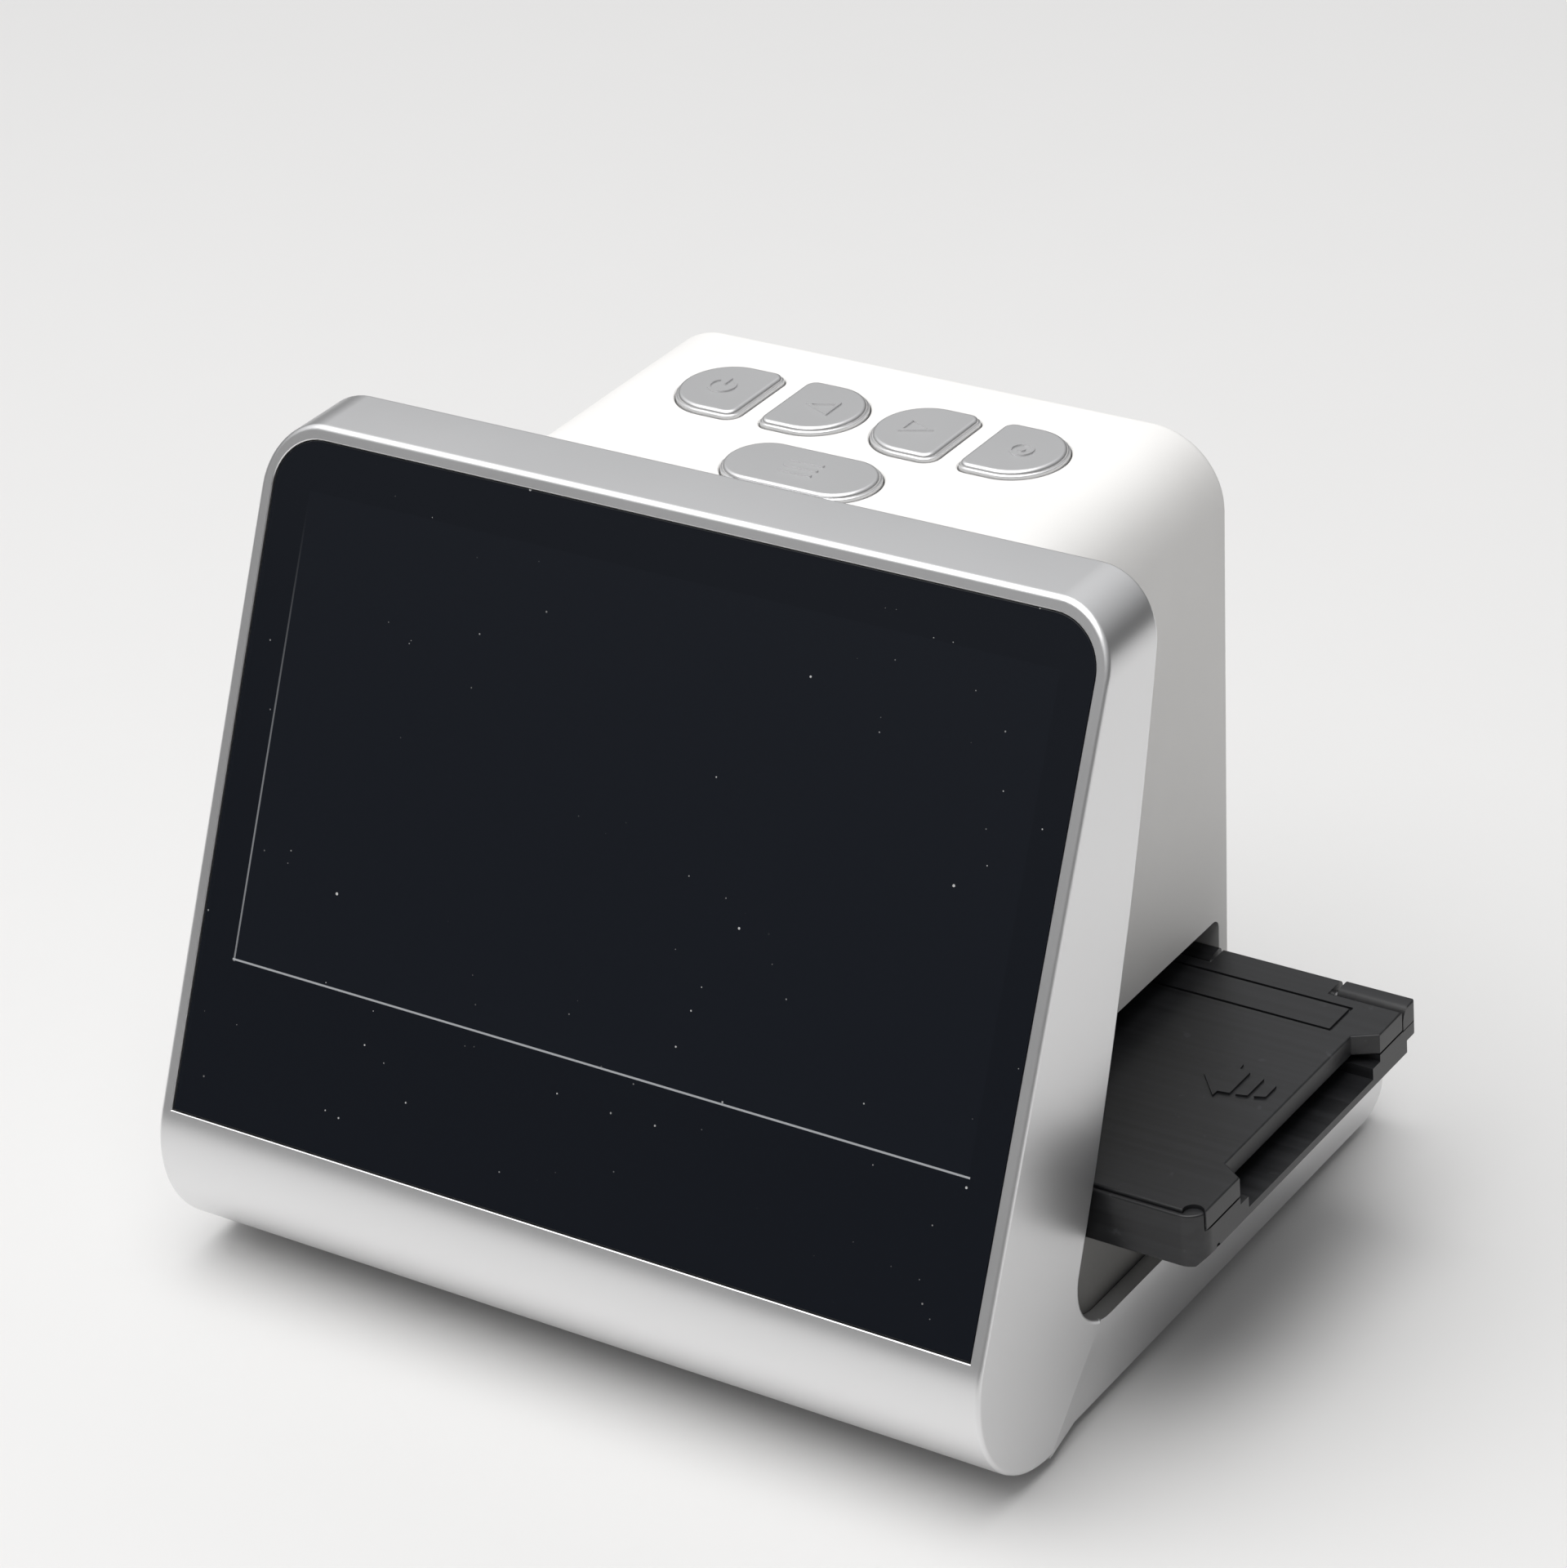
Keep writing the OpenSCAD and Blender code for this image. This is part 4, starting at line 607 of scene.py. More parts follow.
def film_lead(name):
    """Amber film with fine conductor lines along it."""
    paint = Paint(name)
    x, _, _ = paint.parts(paint.place)
    lines = paint.node("ShaderNodeMath", {"operation": "PINGPONG"},
                       {0: x, 1: 0.0005}) * 2000
    tone = paint.mix(lines.ramp(0.4, 0.6), (0.30, 0.13, 0.02, 1), (0.48, 0.24, 0.05, 1))
    return paint.set(Base_Color=tone, Roughness=0.28 + lines * 0.08)


def clear_lens(name):
    """Coated lens glass."""
    paint = Paint(name)
    cloud = paint.noise(80, 2)
    tone = paint.mix(cloud, (0.10, 0.08, 0.22, 1), (0.05, 0.16, 0.20, 1))
    return paint.set(Base_Color=tone, Roughness=0.04 + cloud * 0.03, Coat_Weight=1.0,
                     Coat_Roughness=0.02)


FINISHES = {}


def finish_of(slot):
    """The material of a slot, made once."""
    if slot not in FINISHES:
        scene = bpy.context.scene
        shell, screen, holder = scene.scanner_shell, scene.scanner_screen, scene.scanner_holder
        makers = {
            "silver_shell": (silver_lacquer, shell.silver, 0.35, shell.flake),
            "button_silver": (silver_lacquer, shade(shell.silver, 0.90), 0.38, shell.flake),
            "white_shell": (moulded_plastic, shell.white, 0.52, 0.12),
            # Painted shade: the light box's dark grey stands for the shade under the film holder.
            "grey_shell": (moulded_plastic, shell.grey, 0.45, 0.12),
            "white_board": (moulded_plastic, (0.72, 0.72, 0.70), 0.4, 0.1),
            "front_glass": (black_glass, screen),
            "display": (moulded_plastic, (0.008, 0.009, 0.012), 0.15, 0.05),
            "black_plastic": (moulded_plastic, (0.018, 0.018, 0.019), 0.55, 0.4),
            "holder_plastic": (brushed_plastic, holder.plastic),
            "rubber_feet": (moulded_plastic, (0.02, 0.02, 0.02), 0.75, 0.6, 900),
            "lens": (clear_lens,),
            "opal": (moulded_plastic, (0.82, 0.84, 0.86), 0.3, 0.05, 1800, 0.4),
            "circuit_board": (circuit_board,),
            "chips": (moulded_plastic, (0.022, 0.022, 0.025), 0.5, 0.5, 3000),
            "leds": (moulded_plastic, (0.80, 0.62, 0.16), 0.35, 0.1),
            "flex_film": (film_lead,),
            "steel": (brushed_steel,),
        }
        maker, *looks = makers[slot]
        FINISHES[slot] = maker(slot, *looks)
    return FINISHES[slot]


# --- Geometry Nodes for what repeats ---

SLOT_REACH = 4.4  # length of a cross slot, in widths

def node_tree(name, floats):
    """An empty tree that takes points and named sizes and gives a mesh."""
    tree = bpy.data.node_groups.new(name, "GeometryNodeTree")
    inputs = [("Points", "Geometry")] + [(title, "Float") for title in floats]
    for title, kind in inputs + [("Sides", "Int"), ("Finish", "Material")]:
        tree.interface.new_socket(title, in_out="INPUT", socket_type="NodeSocket" + kind)
    tree.interface.new_socket("Mesh", in_out="OUTPUT", socket_type="NodeSocketGeometry")
    return tree


def lathe_tree(name, steps, cross=True):
    """Stacks turned steps on points that carry a facing; each step is (foot radius name,
    top radius name, height name), taken in turn out of the point."""
    floats = list(dict.fromkeys(title for step in steps for title in step))
    tree = node_tree(name, floats + (["Slot width", "Slot depth"] if cross else []))
    nodes = Nodes(tree)
    given = {wire.socket.name: wire for wire in nodes.node("NodeGroupInput", {}, {}).fellows()}

    def lifted(solid, height):
        lift = nodes.node("ShaderNodeCombineXYZ", {}, {"Z": height})
        return nodes.node("GeometryNodeTransform", {}, {"Geometry": solid, "Translation": lift})

    base, solids = 0.0, []
    for foot, top, height in steps:
        cone = nodes.node("GeometryNodeMeshCone", {}, {
            "Vertices": given["Sides"], "Radius Bottom": given[foot], "Radius Top": given[top],
            "Depth": given[height]})
        solids.append(lifted(cone, base))
        base = base + given[height]
    whole = nodes.node("GeometryNodeMeshBoolean", {"operation": "UNION"}, {"Mesh 2": solids})
    if cross:
        width, reach = given["Slot width"], given["Slot width"] * SLOT_REACH
        bars = []
        for x, y in ((reach, width), (width, reach)):
            size = nodes.node("ShaderNodeCombineXYZ", {},
                              {"X": x, "Y": y, "Z": given["Slot depth"]})
            bars.append(lifted(nodes.node("GeometryNodeMeshCube", {}, {"Size": size}), base))
        whole = nodes.node("GeometryNodeMeshBoolean", {"operation": "DIFFERENCE"},
                           {"Mesh 1": whole, "Mesh 2": bars})
    facing = nodes.node("GeometryNodeInputNamedAttribute", {"data_type": "FLOAT_VECTOR"},
                        {"Name": "facing"})
    turn = nodes.node("FunctionNodeAlignRotationToVector", {"axis": "Z"}, {"Vector": facing})
    copies = nodes.node("GeometryNodeInstanceOnPoints", {}, {
        "Points": given["Points"], "Instance": whole, "Rotation": turn})
    real = nodes.node("GeometryNodeRealizeInstances", {}, {"Geometry": copies})
    done = nodes.node("GeometryNodeSetMaterial", {},
                      {"Geometry": real, "Material": given["Finish"]})
    nodes.node("NodeGroupOutput", {}, {"Mesh": done}, None)
    return tree


def repeat(name, tree, places, slot, sizes):
    mesh = bpy.data.meshes.new(name)
    mesh.from_pydata([p for p, _ in places], [], [])
    facing = mesh.attributes.new("facing", "FLOAT_VECTOR", "POINT")
    facing.data.foreach_set("vector", [c for _, f in places for c in f])
    obj = bpy.data.objects.new(name, mesh)
    bpy.context.scene.collection.objects.link(obj)
    step = obj.modifiers.new("copies", "NODES")
    step.node_group = tree
    values = dict(sizes, Sides=bpy.context.scene.scanner_fasteners.sides,
                  Finish=finish_of(slot))
    for item in tree.interface.items_tree:
        if item.in_out == "INPUT" and item.name in values:
            step[item.identifier] = values[item.name]
    settle(obj)
    finish(obj, "body", slot, name)


# --- Stand ---

MOUTHS = {"usb_socket": 1.4, "video_socket": 0.4, "card_socket": 0.3}  # corner radii
COVER_SCREW_IN, COVER_SCREW_Z, HEAD_SEAT_R, SCREW_HOLE_R = 2.2, (40, STAND_H - 27.8), 2.0, 1.1
PLATE_FRONT, PLATE_REAR, PLATE_R, POCKET_FLARE = NOSE_R + 5, STAND_D - PLATE_MARGIN, 3, 0.12

def glass_pocket(depth, flare):
    """Cutter for the glass's seat, with a fine chamfer along its rim."""
    return stack("pocket", [(glass_outline(0), -depth), (glass_outline(0), -flare),
                            (glass_outline(-2 * flare), flare), (glass_outline(-2 * flare), 4)],
                 "FACE")


def across(name, outline, past=0):
    """Solid of a side outline, as wide as the stand and a little past it."""
    half = STAND_W / 2 + past
    return prism(name, outline, -half, half, "X")


def stand_hollow():
    """Solid of the room inside the stand."""
    inner = STAND_W / 2 - WALL
    return combine(prism("hollow", stand_cavity(), -inner, inner, "X"), "INTERSECT",
                   prism("round", top_shape(WALL), -1, STAND_D, "Y"))


def build_leg(looks):
    """Leg with the pocket for the glass and the display's window."""
    leg = combine(across("stand_front", stand_outline()), "INTERSECT",
                  prism("round", top_shape(0), -1, STAND_D + 1, "Y"))
    soften(leg, looks.edge / MM)
    carve(leg, stand_hollow())
    combine(leg, "INTERSECT", across("front", mitre_front(), 1))
    carve(leg, glass_pocket(GLASS_RECESS + GLASS_T + TAPE_T, POCKET_FLARE))
    carve(leg, prism("window", round_rect(
        LCD_W + 2 * FIT, LCD_H + 2 * FIT, 0.3, (LCD_X, LCD_FOOT + LCD_H / 2)), -9, 0, "FACE"))
    finish(leg, "body", "silver_shell", "stand_front")


def build_base(looks):
    """Tub behind the mitre, open for its plate below and for the sockets behind."""
    base = across("base_tub", stand_outline())
    carve(base, block("above", (-90, -9, RIM_Z + CROOK_R), (90, 199, 199)))
    carve(base, *[side_cutter(looks.roll / MM, side) for side in (1, -1)])
    soften(base, looks.rim / MM)
    carve(base, stand_hollow())
    carve(base, across("front", mitre_front(), 1))
    length, centre = PLATE_REAR - PLATE_FRONT, (0, (PLATE_FRONT + PLATE_REAR) / 2)
    for grow, top in ((FIT, FOOT_H + 1.65), (-PLATE_LEDGE, FOOT_H + 5)):
        carve(base, prism("plate", round_rect(
            2 * (PLATE_HALF + grow), length + 2 * grow, PLATE_R, centre),
            FOOT_H - 1, top, "Z"))
    for socket, radius in MOUTHS.items():
        carve(base, prism("mouth", node_outline(socket, 2 * FIT, radius, 2),
                          STAND_D - WALL - 0.5, STAND_D + 1, "Y"))
    finish(base, "body", "silver_shell", "base_tub")


def build_cover():
    """Cover behind the leg, with seats for its screws."""
    half = STAND_W / 2 - WALL - FIT
    outside, inside = (rim_cut(rear_line(off), RIM_Z + 2) for off in (0, -COVER_T))
    cover = combine(prism("leg_cover", outside + inside[::-1], -half, half, "X"),
                    "INTERSECT", prism("round", top_shape(WALL + FIT), -1, STAND_D, "Y"))
    soften(cover, 0.25, 2)
    for point, facing in cover_places():
        tools = (rod("seat", (0, 0), HEAD_SEAT_R, -HEAD_H, 3),
                 rod("hole", (0, 0), SCREW_HOLE_R, -4, 1))
        for tool in tools:
            tool.data.transform(Matrix.Translation(point)
                                @ Vector(facing).to_track_quat("Z", "Y").to_matrix().to_4x4())
        carve(cover, *tools)
    finish(cover, "body", "silver_shell", "leg_cover")


class SCANNER_OT_stand(bpy.types.Operator):
    """Builds the silver leg, the base and the leg's rear cover"""

    bl_idname = "scanner.stand"
    bl_label = "Stand"

    def execute(self, context):
        looks = context.scene.scanner_shell
        build_leg(looks)
        build_base(looks)
        build_cover()
        return {"FINISHED"}


def side_cutter(roll, side):
    """Everything beside the base, whose side rolls in below the rim from the mitre back."""
    lean = (MITRE_TOP[0] - MITRE_FOOT[0]) / (MITRE_TOP[1] - MITRE_FOOT[1])
    out, wall = side * 80, STAND_W / 2
    rings = []
    for behind in (-6, 0, 1.2, 2.4, 4, 8, 100):
        ring = [(out, MITRE_FOOT[0] + behind - lean * (FOOT_H + 2), -2)]
        for i in range(15):
            z = FOOT_H - 2 + (RIM_Z - FOOT_H + 2.02) * i / 14
            t = (RIM_Z - z) / (RIM_Z - FOOT_H)
            share = min(behind / (2.4 + 6 * t * t), 1) if behind > 0 else behind / 12
            inset = roll * max(t, 0.1) ** 1.6 * share
            ring.append((side * (wall - inset), MITRE_FOOT[0] + behind + lean * (z - FOOT_H), z))
        y = MITRE_FOOT[0] + behind + lean * (22 - FOOT_H)
        rings.append(ring + [(side * (wall + 0.02), y, 22), (out, y, 22)])
    return loft("beside", rings)


def rim_cut(line, low):
    """A rear line that ends straight at a height."""
    kept = [p for p in line if p[1] > low + 0.5]
    return kept + [(kept[-1][0] - (kept[-1][1] - low) * math.tan(REAR_LEAN), low)]


def cover_places():
    """Places of the leg cover's screws with their facing."""
    return [((x * (STAND_W / 2 - WALL - COVER_SCREW_IN), rear_y(z) + rear_out(z), z),
             (0, REAR_N[0], -REAR_N[1])) for x in (-1, 1) for z in COVER_SCREW_Z]


class SCANNER_OT_screen(bpy.types.Operator):
    """Builds the front glass over the display"""

    bl_idname = "scanner.screen"
    bl_label = "Front glass"

    def execute(self, context):
        cut = context.scene.scanner_screen.chamfer / MM
        low, high = -GLASS_RECESS - GLASS_T, -GLASS_RECESS
        glass = stack("front_glass", [
            (glass_outline(FIT + inset), z) for inset, z in (
                (cut, low), (0, low + cut), (0, high - cut), (0.3 * cut, high - 0.3 * cut),
                (cut, high))], "FACE")
        finish(glass, "body", "front_glass", "front_glass")
        return {"FINISHED"}


# --- Tower and buttons ---

BUTTON_W, BUTTON_D, LONG_L, LONG_D = 10.4, 11.7, 20.7, 9.4
SKIRT, SKIRT_RISE, BUTTON_RISE, HOLE_FLARE = 0.85, 0.35, 1.1, 0.15
STEM_R, STEM_L, ICON_LINE, RING_R = 1.8, 4.6, 0.42, 1.55
ROW_Y, LONG_Y = TOP_REAR[0] + 21.5, TOP_REAR[0] + 5.5
# Place in x and y, and -1 where it is round on the left, 1 on the right and 0 on both sides
BUTTONS = {"power": (AXIS_X - 22.7, ROW_Y, -1), "back": (AXIS_X - 7.3, ROW_Y, 1),
           "forward": (AXIS_X + 7.3, ROW_Y, -1), "confirm": (AXIS_X + 22.7, ROW_Y, 1),
           "menu": (AXIS_X, LONG_Y, 0)}
# Screw posts on each side of the tower's axis: reach in x, places in y, radius, foot and top
TOWER_POSTS = ((tower_half(39.2, TOWER_WALL) - 2.2, (48, TOWER_REAR - 7.9), 2.8, 39.2, 48.2),
               (34, (TOP_REAR[0] + 4.6, TOWER_REAR - TOWER_WALL - 5.7), 2.6, 94, DECK_Z - 1))


def build_tower(looks):
    """White shell over the film slot, cut free of the leg, with the buttons' holes."""
    tower = prism("tower_shell", tower_profile(0, SLOT_Z), 10, TOWER_REAR, "Y")
    soften(tower, looks.tower_edge / MM, 4, 50)
    slot = ([(-10, SLOT_Z - 2), (SLOT_REAR, SLOT_Z - 2)]
            + arc((SLOT_REAR - SLOT_R, SLOT_TOP - SLOT_R), SLOT_R, 0, 90, 8)
            + [(-10, SLOT_TOP)])
    carve(tower, prism("slot", slot, -90, 90, "X"))
    carve(tower, prism("hollow", tower_profile(TOWER_WALL, SLOT_TOP - 1), 0,
                       TOWER_REAR - TOWER_WALL, "Y"))
    combine(tower, "UNION", *[
        rod("post", (AXIS_X + x * reach, y), radius, low, high) for x in (-1, 1)
        for reach, row, radius, low, high in TOWER_POSTS for y in row])
    carve(tower, prism("leg", leg_zone(FIT), -90, 90, "X"))
    wide = SKIRT + 0.2
    for place in BUTTONS.values():
        carve(tower, stack("hole", [(button_outline(*place, grow), DECK_Z + z) for grow, z in (
            (wide, -TOWER_WALL - 1), (wide, -HOLE_FLARE), (wide + 0.3, HOLE_FLARE))]))
    finish(tower, "body", "white_shell", "tower_shell")


def build_light_box():
    """Box below the film slot, with the rear deck and the opal window's seat; its dark grey is
    painted shade of the place under the film holder.
    """
    gap, half, rear = 2 * FIT, STAND_W / 2 - WALL - FIT, STAND_D - WALL - FIT
    inner, nose = FOOT_H + FACE_T, NOSE_R + 9
    box = prism("light_box", [
        (nose, inner), (nose, inner + 5), (rear_y(inner + 5) + gap, inner + 5),
        (rear_y(SLOT_Z) + gap, SLOT_Z), (TOWER_REAR, SLOT_Z), (TOWER_REAR, REAR_DECK_Z),
        (rear, REAR_DECK_Z), (rear, inner)], -half, half, "X")
    soften(box, 0.45)
    top, deck, back = SLOT_Z - BOX_T, REAR_DECK_Z - BOX_T, TOWER_REAR - BOX_T
    carve(box, prism("hollow", [
        (nose - 18, -1), (rear_y(inner) + gap + BOX_T, inner), (rear_y(top) + gap + BOX_T, top),
        (back, top), (back, deck), (STAND_D, deck), (STAND_D, -1)],
        -half + BOX_T, half - BOX_T, "X"))
    carve(box, prism("seat", node_outline("opal_window", 0.15, 0.3), SLOT_Z - 3,
                     cad_box("opal_window")[1].z, "Z"),
          stack("window", [(node_outline("opal_window", grow, r), z) for grow, r, z in (
              (-2, 1, SLOT_Z - 3), (-2, 1, SLOT_Z - 0.3), (-1.6, 1.4, SLOT_Z + 0.1))]))
    # The dark grey finish is painted shade of the place under the holder.
    finish(box, "body", "grey_shell", "light_box")


class SCANNER_OT_tower(bpy.types.Operator):
    """Builds the white camera tower and the light box below it"""

    bl_idname = "scanner.tower"
    bl_label = "Tower and light box"

    def execute(self, context):
        build_tower(context.scene.scanner_shell)
        build_light_box()
        return {"FINISHED"}


def button_outline(x, y, kind, grow):
    """Outline of a button of one of the three kinds, grown by grow."""
    if kind == 0:
        w, d = LONG_L + 2 * grow, LONG_D + 2 * grow
        return round_rect(w, d, d / 2 - 0.01, (x, y), 14)
    r = BUTTON_D / 2 + grow
    c = (-BUTTON_W / 2 + BUTTON_D / 2, 0)
    corner = max(1.0 + grow, 0.3)
    right = BUTTON_W / 2 + grow
    points = (arc(c, r, 90, 270, 28)
              + arc((right - corner, -r + corner), corner, -90, 0, 6)
              + arc((right - corner, r - corner), corner, 0, 90, 6))
    flip = -1 if kind > 0 else 1
    return [(x + flip * px, y + py) for px, py in points]


def raised_icons(name, x, y, height):
    """Plain raised shapes on a button's face, up to the button's full height."""
    top, line = DECK_Z + BUTTON_RISE, ICON_LINE

    def shape(outline):
        return prism("icon", outline, top - height - 0.3, top, "Z")

    def frame_of(outline_of):
        """A ring between an outline and the same one inset by the line's width."""
        return carve(shape(outline_of(0)),
                     prism("core", outline_of(line), top - 2, top + 2, "Z"))

    if name == "power":
        return [shape(arc((x, y), RING_R + line, 130, 410, 28)
                      + arc((x, y), RING_R, 410, 130, 28)),
                shape(round_rect(line, 1.9, line / 2 - 0.01, (x, y + 1.35)))]
    if name in ("back", "forward"):
        side = -1 if name == "back" else 1

        def triangle(inset):
            tip, base, half = 2.4 - 2 * inset, -1.9 + inset, 1.9 - 1.6 * inset
            return [(x + side * tip, y), (x + side * base, y + half), (x + side * base, y - half)]
        return [frame_of(triangle)]
    if name == "confirm":
        return [frame_of(lambda inset: arc((x, y), 1.7 - inset, 0, 360, 32)[:-1]),
                shape(arc((x, y), 0.55, 0, 360, 20)[:-1])]
    return [shape(round_rect(5.2, line * 1.2, line * 0.55, (x, y + step)))
            for step in (-1.5, 0, 1.5)]


class SCANNER_OT_buttons(bpy.types.Operator):
    """Builds the five push buttons with their raised icons"""

    bl_idname = "scanner.buttons"
    bl_label = "Push buttons"

    def execute(self, context):
        looks = context.scene.scanner_buttons
        crown, under = looks.crown / MM, DECK_Z - TOWER_WALL - 0.1
        skirt, face = DECK_Z + SKIRT_RISE, looks.face / MM
        top = DECK_Z + BUTTON_RISE - looks.icon / MM
        for name, (x, y, kind) in BUTTONS.items():
            layers = [(SKIRT + 0.7, under - 1), (SKIRT + 0.7, under), (SKIRT, under),
                      (SKIRT, skirt - 0.15), (SKIRT - 0.05, skirt - 0.04),
                      (SKIRT - 0.15, skirt), (face + 0.06, skirt + 0.02),
                      (face, skirt + 0.08)]
            rise = top - skirt - 0.08
            layers += [(face - crown * (1 - math.cos(t)), skirt + 0.08 + rise * math.sin(t))
                       for t in (math.radians(a) for a in range(15, 91, 15))]
            button = stack(name + "_button", [(button_outline(x, y, kind, g), z)
                                              for g, z in layers])
            stem = rod("stem", (x, y), STEM_R, under - STEM_L, under - 0.5)
            combine(button, "UNION", stem, *raised_icons(name, x, y, looks.icon / MM))
            finish(button, name + "_button", "button_silver", name + "_button")
        return {"FINISHED"}


# --- Film holder ---

TRAY_Z, TRAY_TOP, LID_Z, LID_TOP = 25.0, 30.0, 30.1, 33.1
FILM_W, FILM_T, WINDOW_L, WINDOW_W = 36.6, 1.0, 37.0, 25.0
EXIT_D, EXIT_SLANT, TRAY_R, LIP_T = 3.1, 2.0, 3.0, 0.55
POST_IN, POST_R, END_CUT = 1.4, 1.3, 1.3
KNUCKLE_R, OUTER_KNUCKLE, LID_KNUCKLE, KNUCKLE_GAP = 1.8, 10.4, 17.4, 0.3
HINGE_Y, HINGE_Z = HOLDER_REAR - KNUCKLE_R - 0.1, LID_TOP - KNUCKLE_R
KNUCKLE_X = HOLDER_L / 2 - OUTER_KNUCKLE
RAIL_X = KNUCKLE_X - LID_KNUCKLE - 2 * KNUCKLE_GAP
LID_GAP = 0.12
LID_FRONT, LID_REAR = HOLDER_FRONT + LIP_T + LID_GAP, HINGE_Y - KNUCKLE_R - 0.3
MAGNET_X, MAGNET_Y, MAGNET_R, MAGNET_H = HOLDER_L / 2 - 9, HOLDER_FRONT + 6, 2.55, 1.6
EXIT_L, EXIT_Z, SEAM, NICK_R, DETENT_R = 14, TRAY_TOP - 2.6, 0.12, 0.4, 2.4
PIN_BORE_R, LABEL_X, LABEL_Y, LABEL_LINE = 0.85, (AXIS_X + 10, 72.2), (74.5, 80.7), 0.45
# The arrow and its two bars on the lid, in (x, y) from the arrow's tip
ARROW_TIP = (AXIS_X + 54.6, FRAME_Y)
ARROW = [[(0, 0), (3.5, 4.0), (3.6, 2.9), (5.2, 2.65), (5.2, -2.65), (3.6, -2.9), (3.5, -4.0)],
         [(6.0, 2.55), (7.5, 2.15), (7.5, -2.15), (6.0, -2.55)],
         [(8.3, 1.95), (9.7, 1.4), (9.7, -1.4), (8.3, -1.95)]]


def tray_shape(inset):
    """The tray from above."""
    return round_rect(HOLDER_L - 2 * inset, HOLDER_REAR - HOLDER_FRONT - 2 * inset,
                      [1.0 - inset, 1.0 - inset, TRAY_R - inset, TRAY_R - inset],
                      (AXIS_X, FRAME_Y), 10)


def lid_shape(inset):
    """The lid from above, with the notches where the film leaves it."""
    half = HOLDER_L / 2 - inset
    mouth, throat = FILM_W / 2 + inset, FILM_W / 2 - EXIT_SLANT + inset
    one = [(half, LID_FRONT + inset), (half, FRAME_Y - mouth), (half - EXIT_D, FRAME_Y - throat),
           (half - EXIT_D, FRAME_Y + throat), (half, FRAME_Y + mouth), (half, LID_REAR - inset)]
    return [(AXIS_X + x, y) for x, y in one] + [(AXIS_X - x, y) for x, y in reversed(one)]


def film_window(grow=0, r=0.6):
    """The opening over one picture of the film."""
    return round_rect(WINDOW_L + grow, WINDOW_W + grow, r, (AXIS_X, FRAME_Y))


def rounded_slab(name, outline_of, low, high, edge):
    """Slab whose upper and lower edges are rounded; outline_of(inset) gives its outline."""
    turns = [math.radians(a) for a in (0, 30, 60, 90)]
    layers = [(outline_of(edge * (1 - math.sin(t))), low + edge * (1 - math.cos(t)))
              for t in turns]
    layers += [(outline_of(edge * (1 - math.cos(t))), high - edge * (1 - math.sin(t)))
               for t in turns]
    return stack(name, layers)


def span(side, start, stop, origin=AXIS_X):
    """Two distances from an origin towards one side, as rising x."""
    return sorted((origin + side * start, origin + side * stop))


def corner_seat(side, grow):
    """Seat of a post at the holder's front corner, as a tool for tray and lid."""
    end = AXIS_X + side * HOLDER_L / 2
    x0, x1 = span(side, -POST_IN, 1, end)
    centre = (end - side * POST_IN, HOLDER_FRONT + 1.0)
    return (rod("post", centre, POST_R + grow, TRAY_TOP - 1, 40),
            block("side", (x0, HOLDER_FRONT - 1, TRAY_TOP - 1),
                  (x1, HOLDER_FRONT + 1.6 + grow, 40)))


def magnet_seat(side, low, high):
    return rod("magnet", (AXIS_X + side * MAGNET_X, MAGNET_Y), MAGNET_R, low, high)


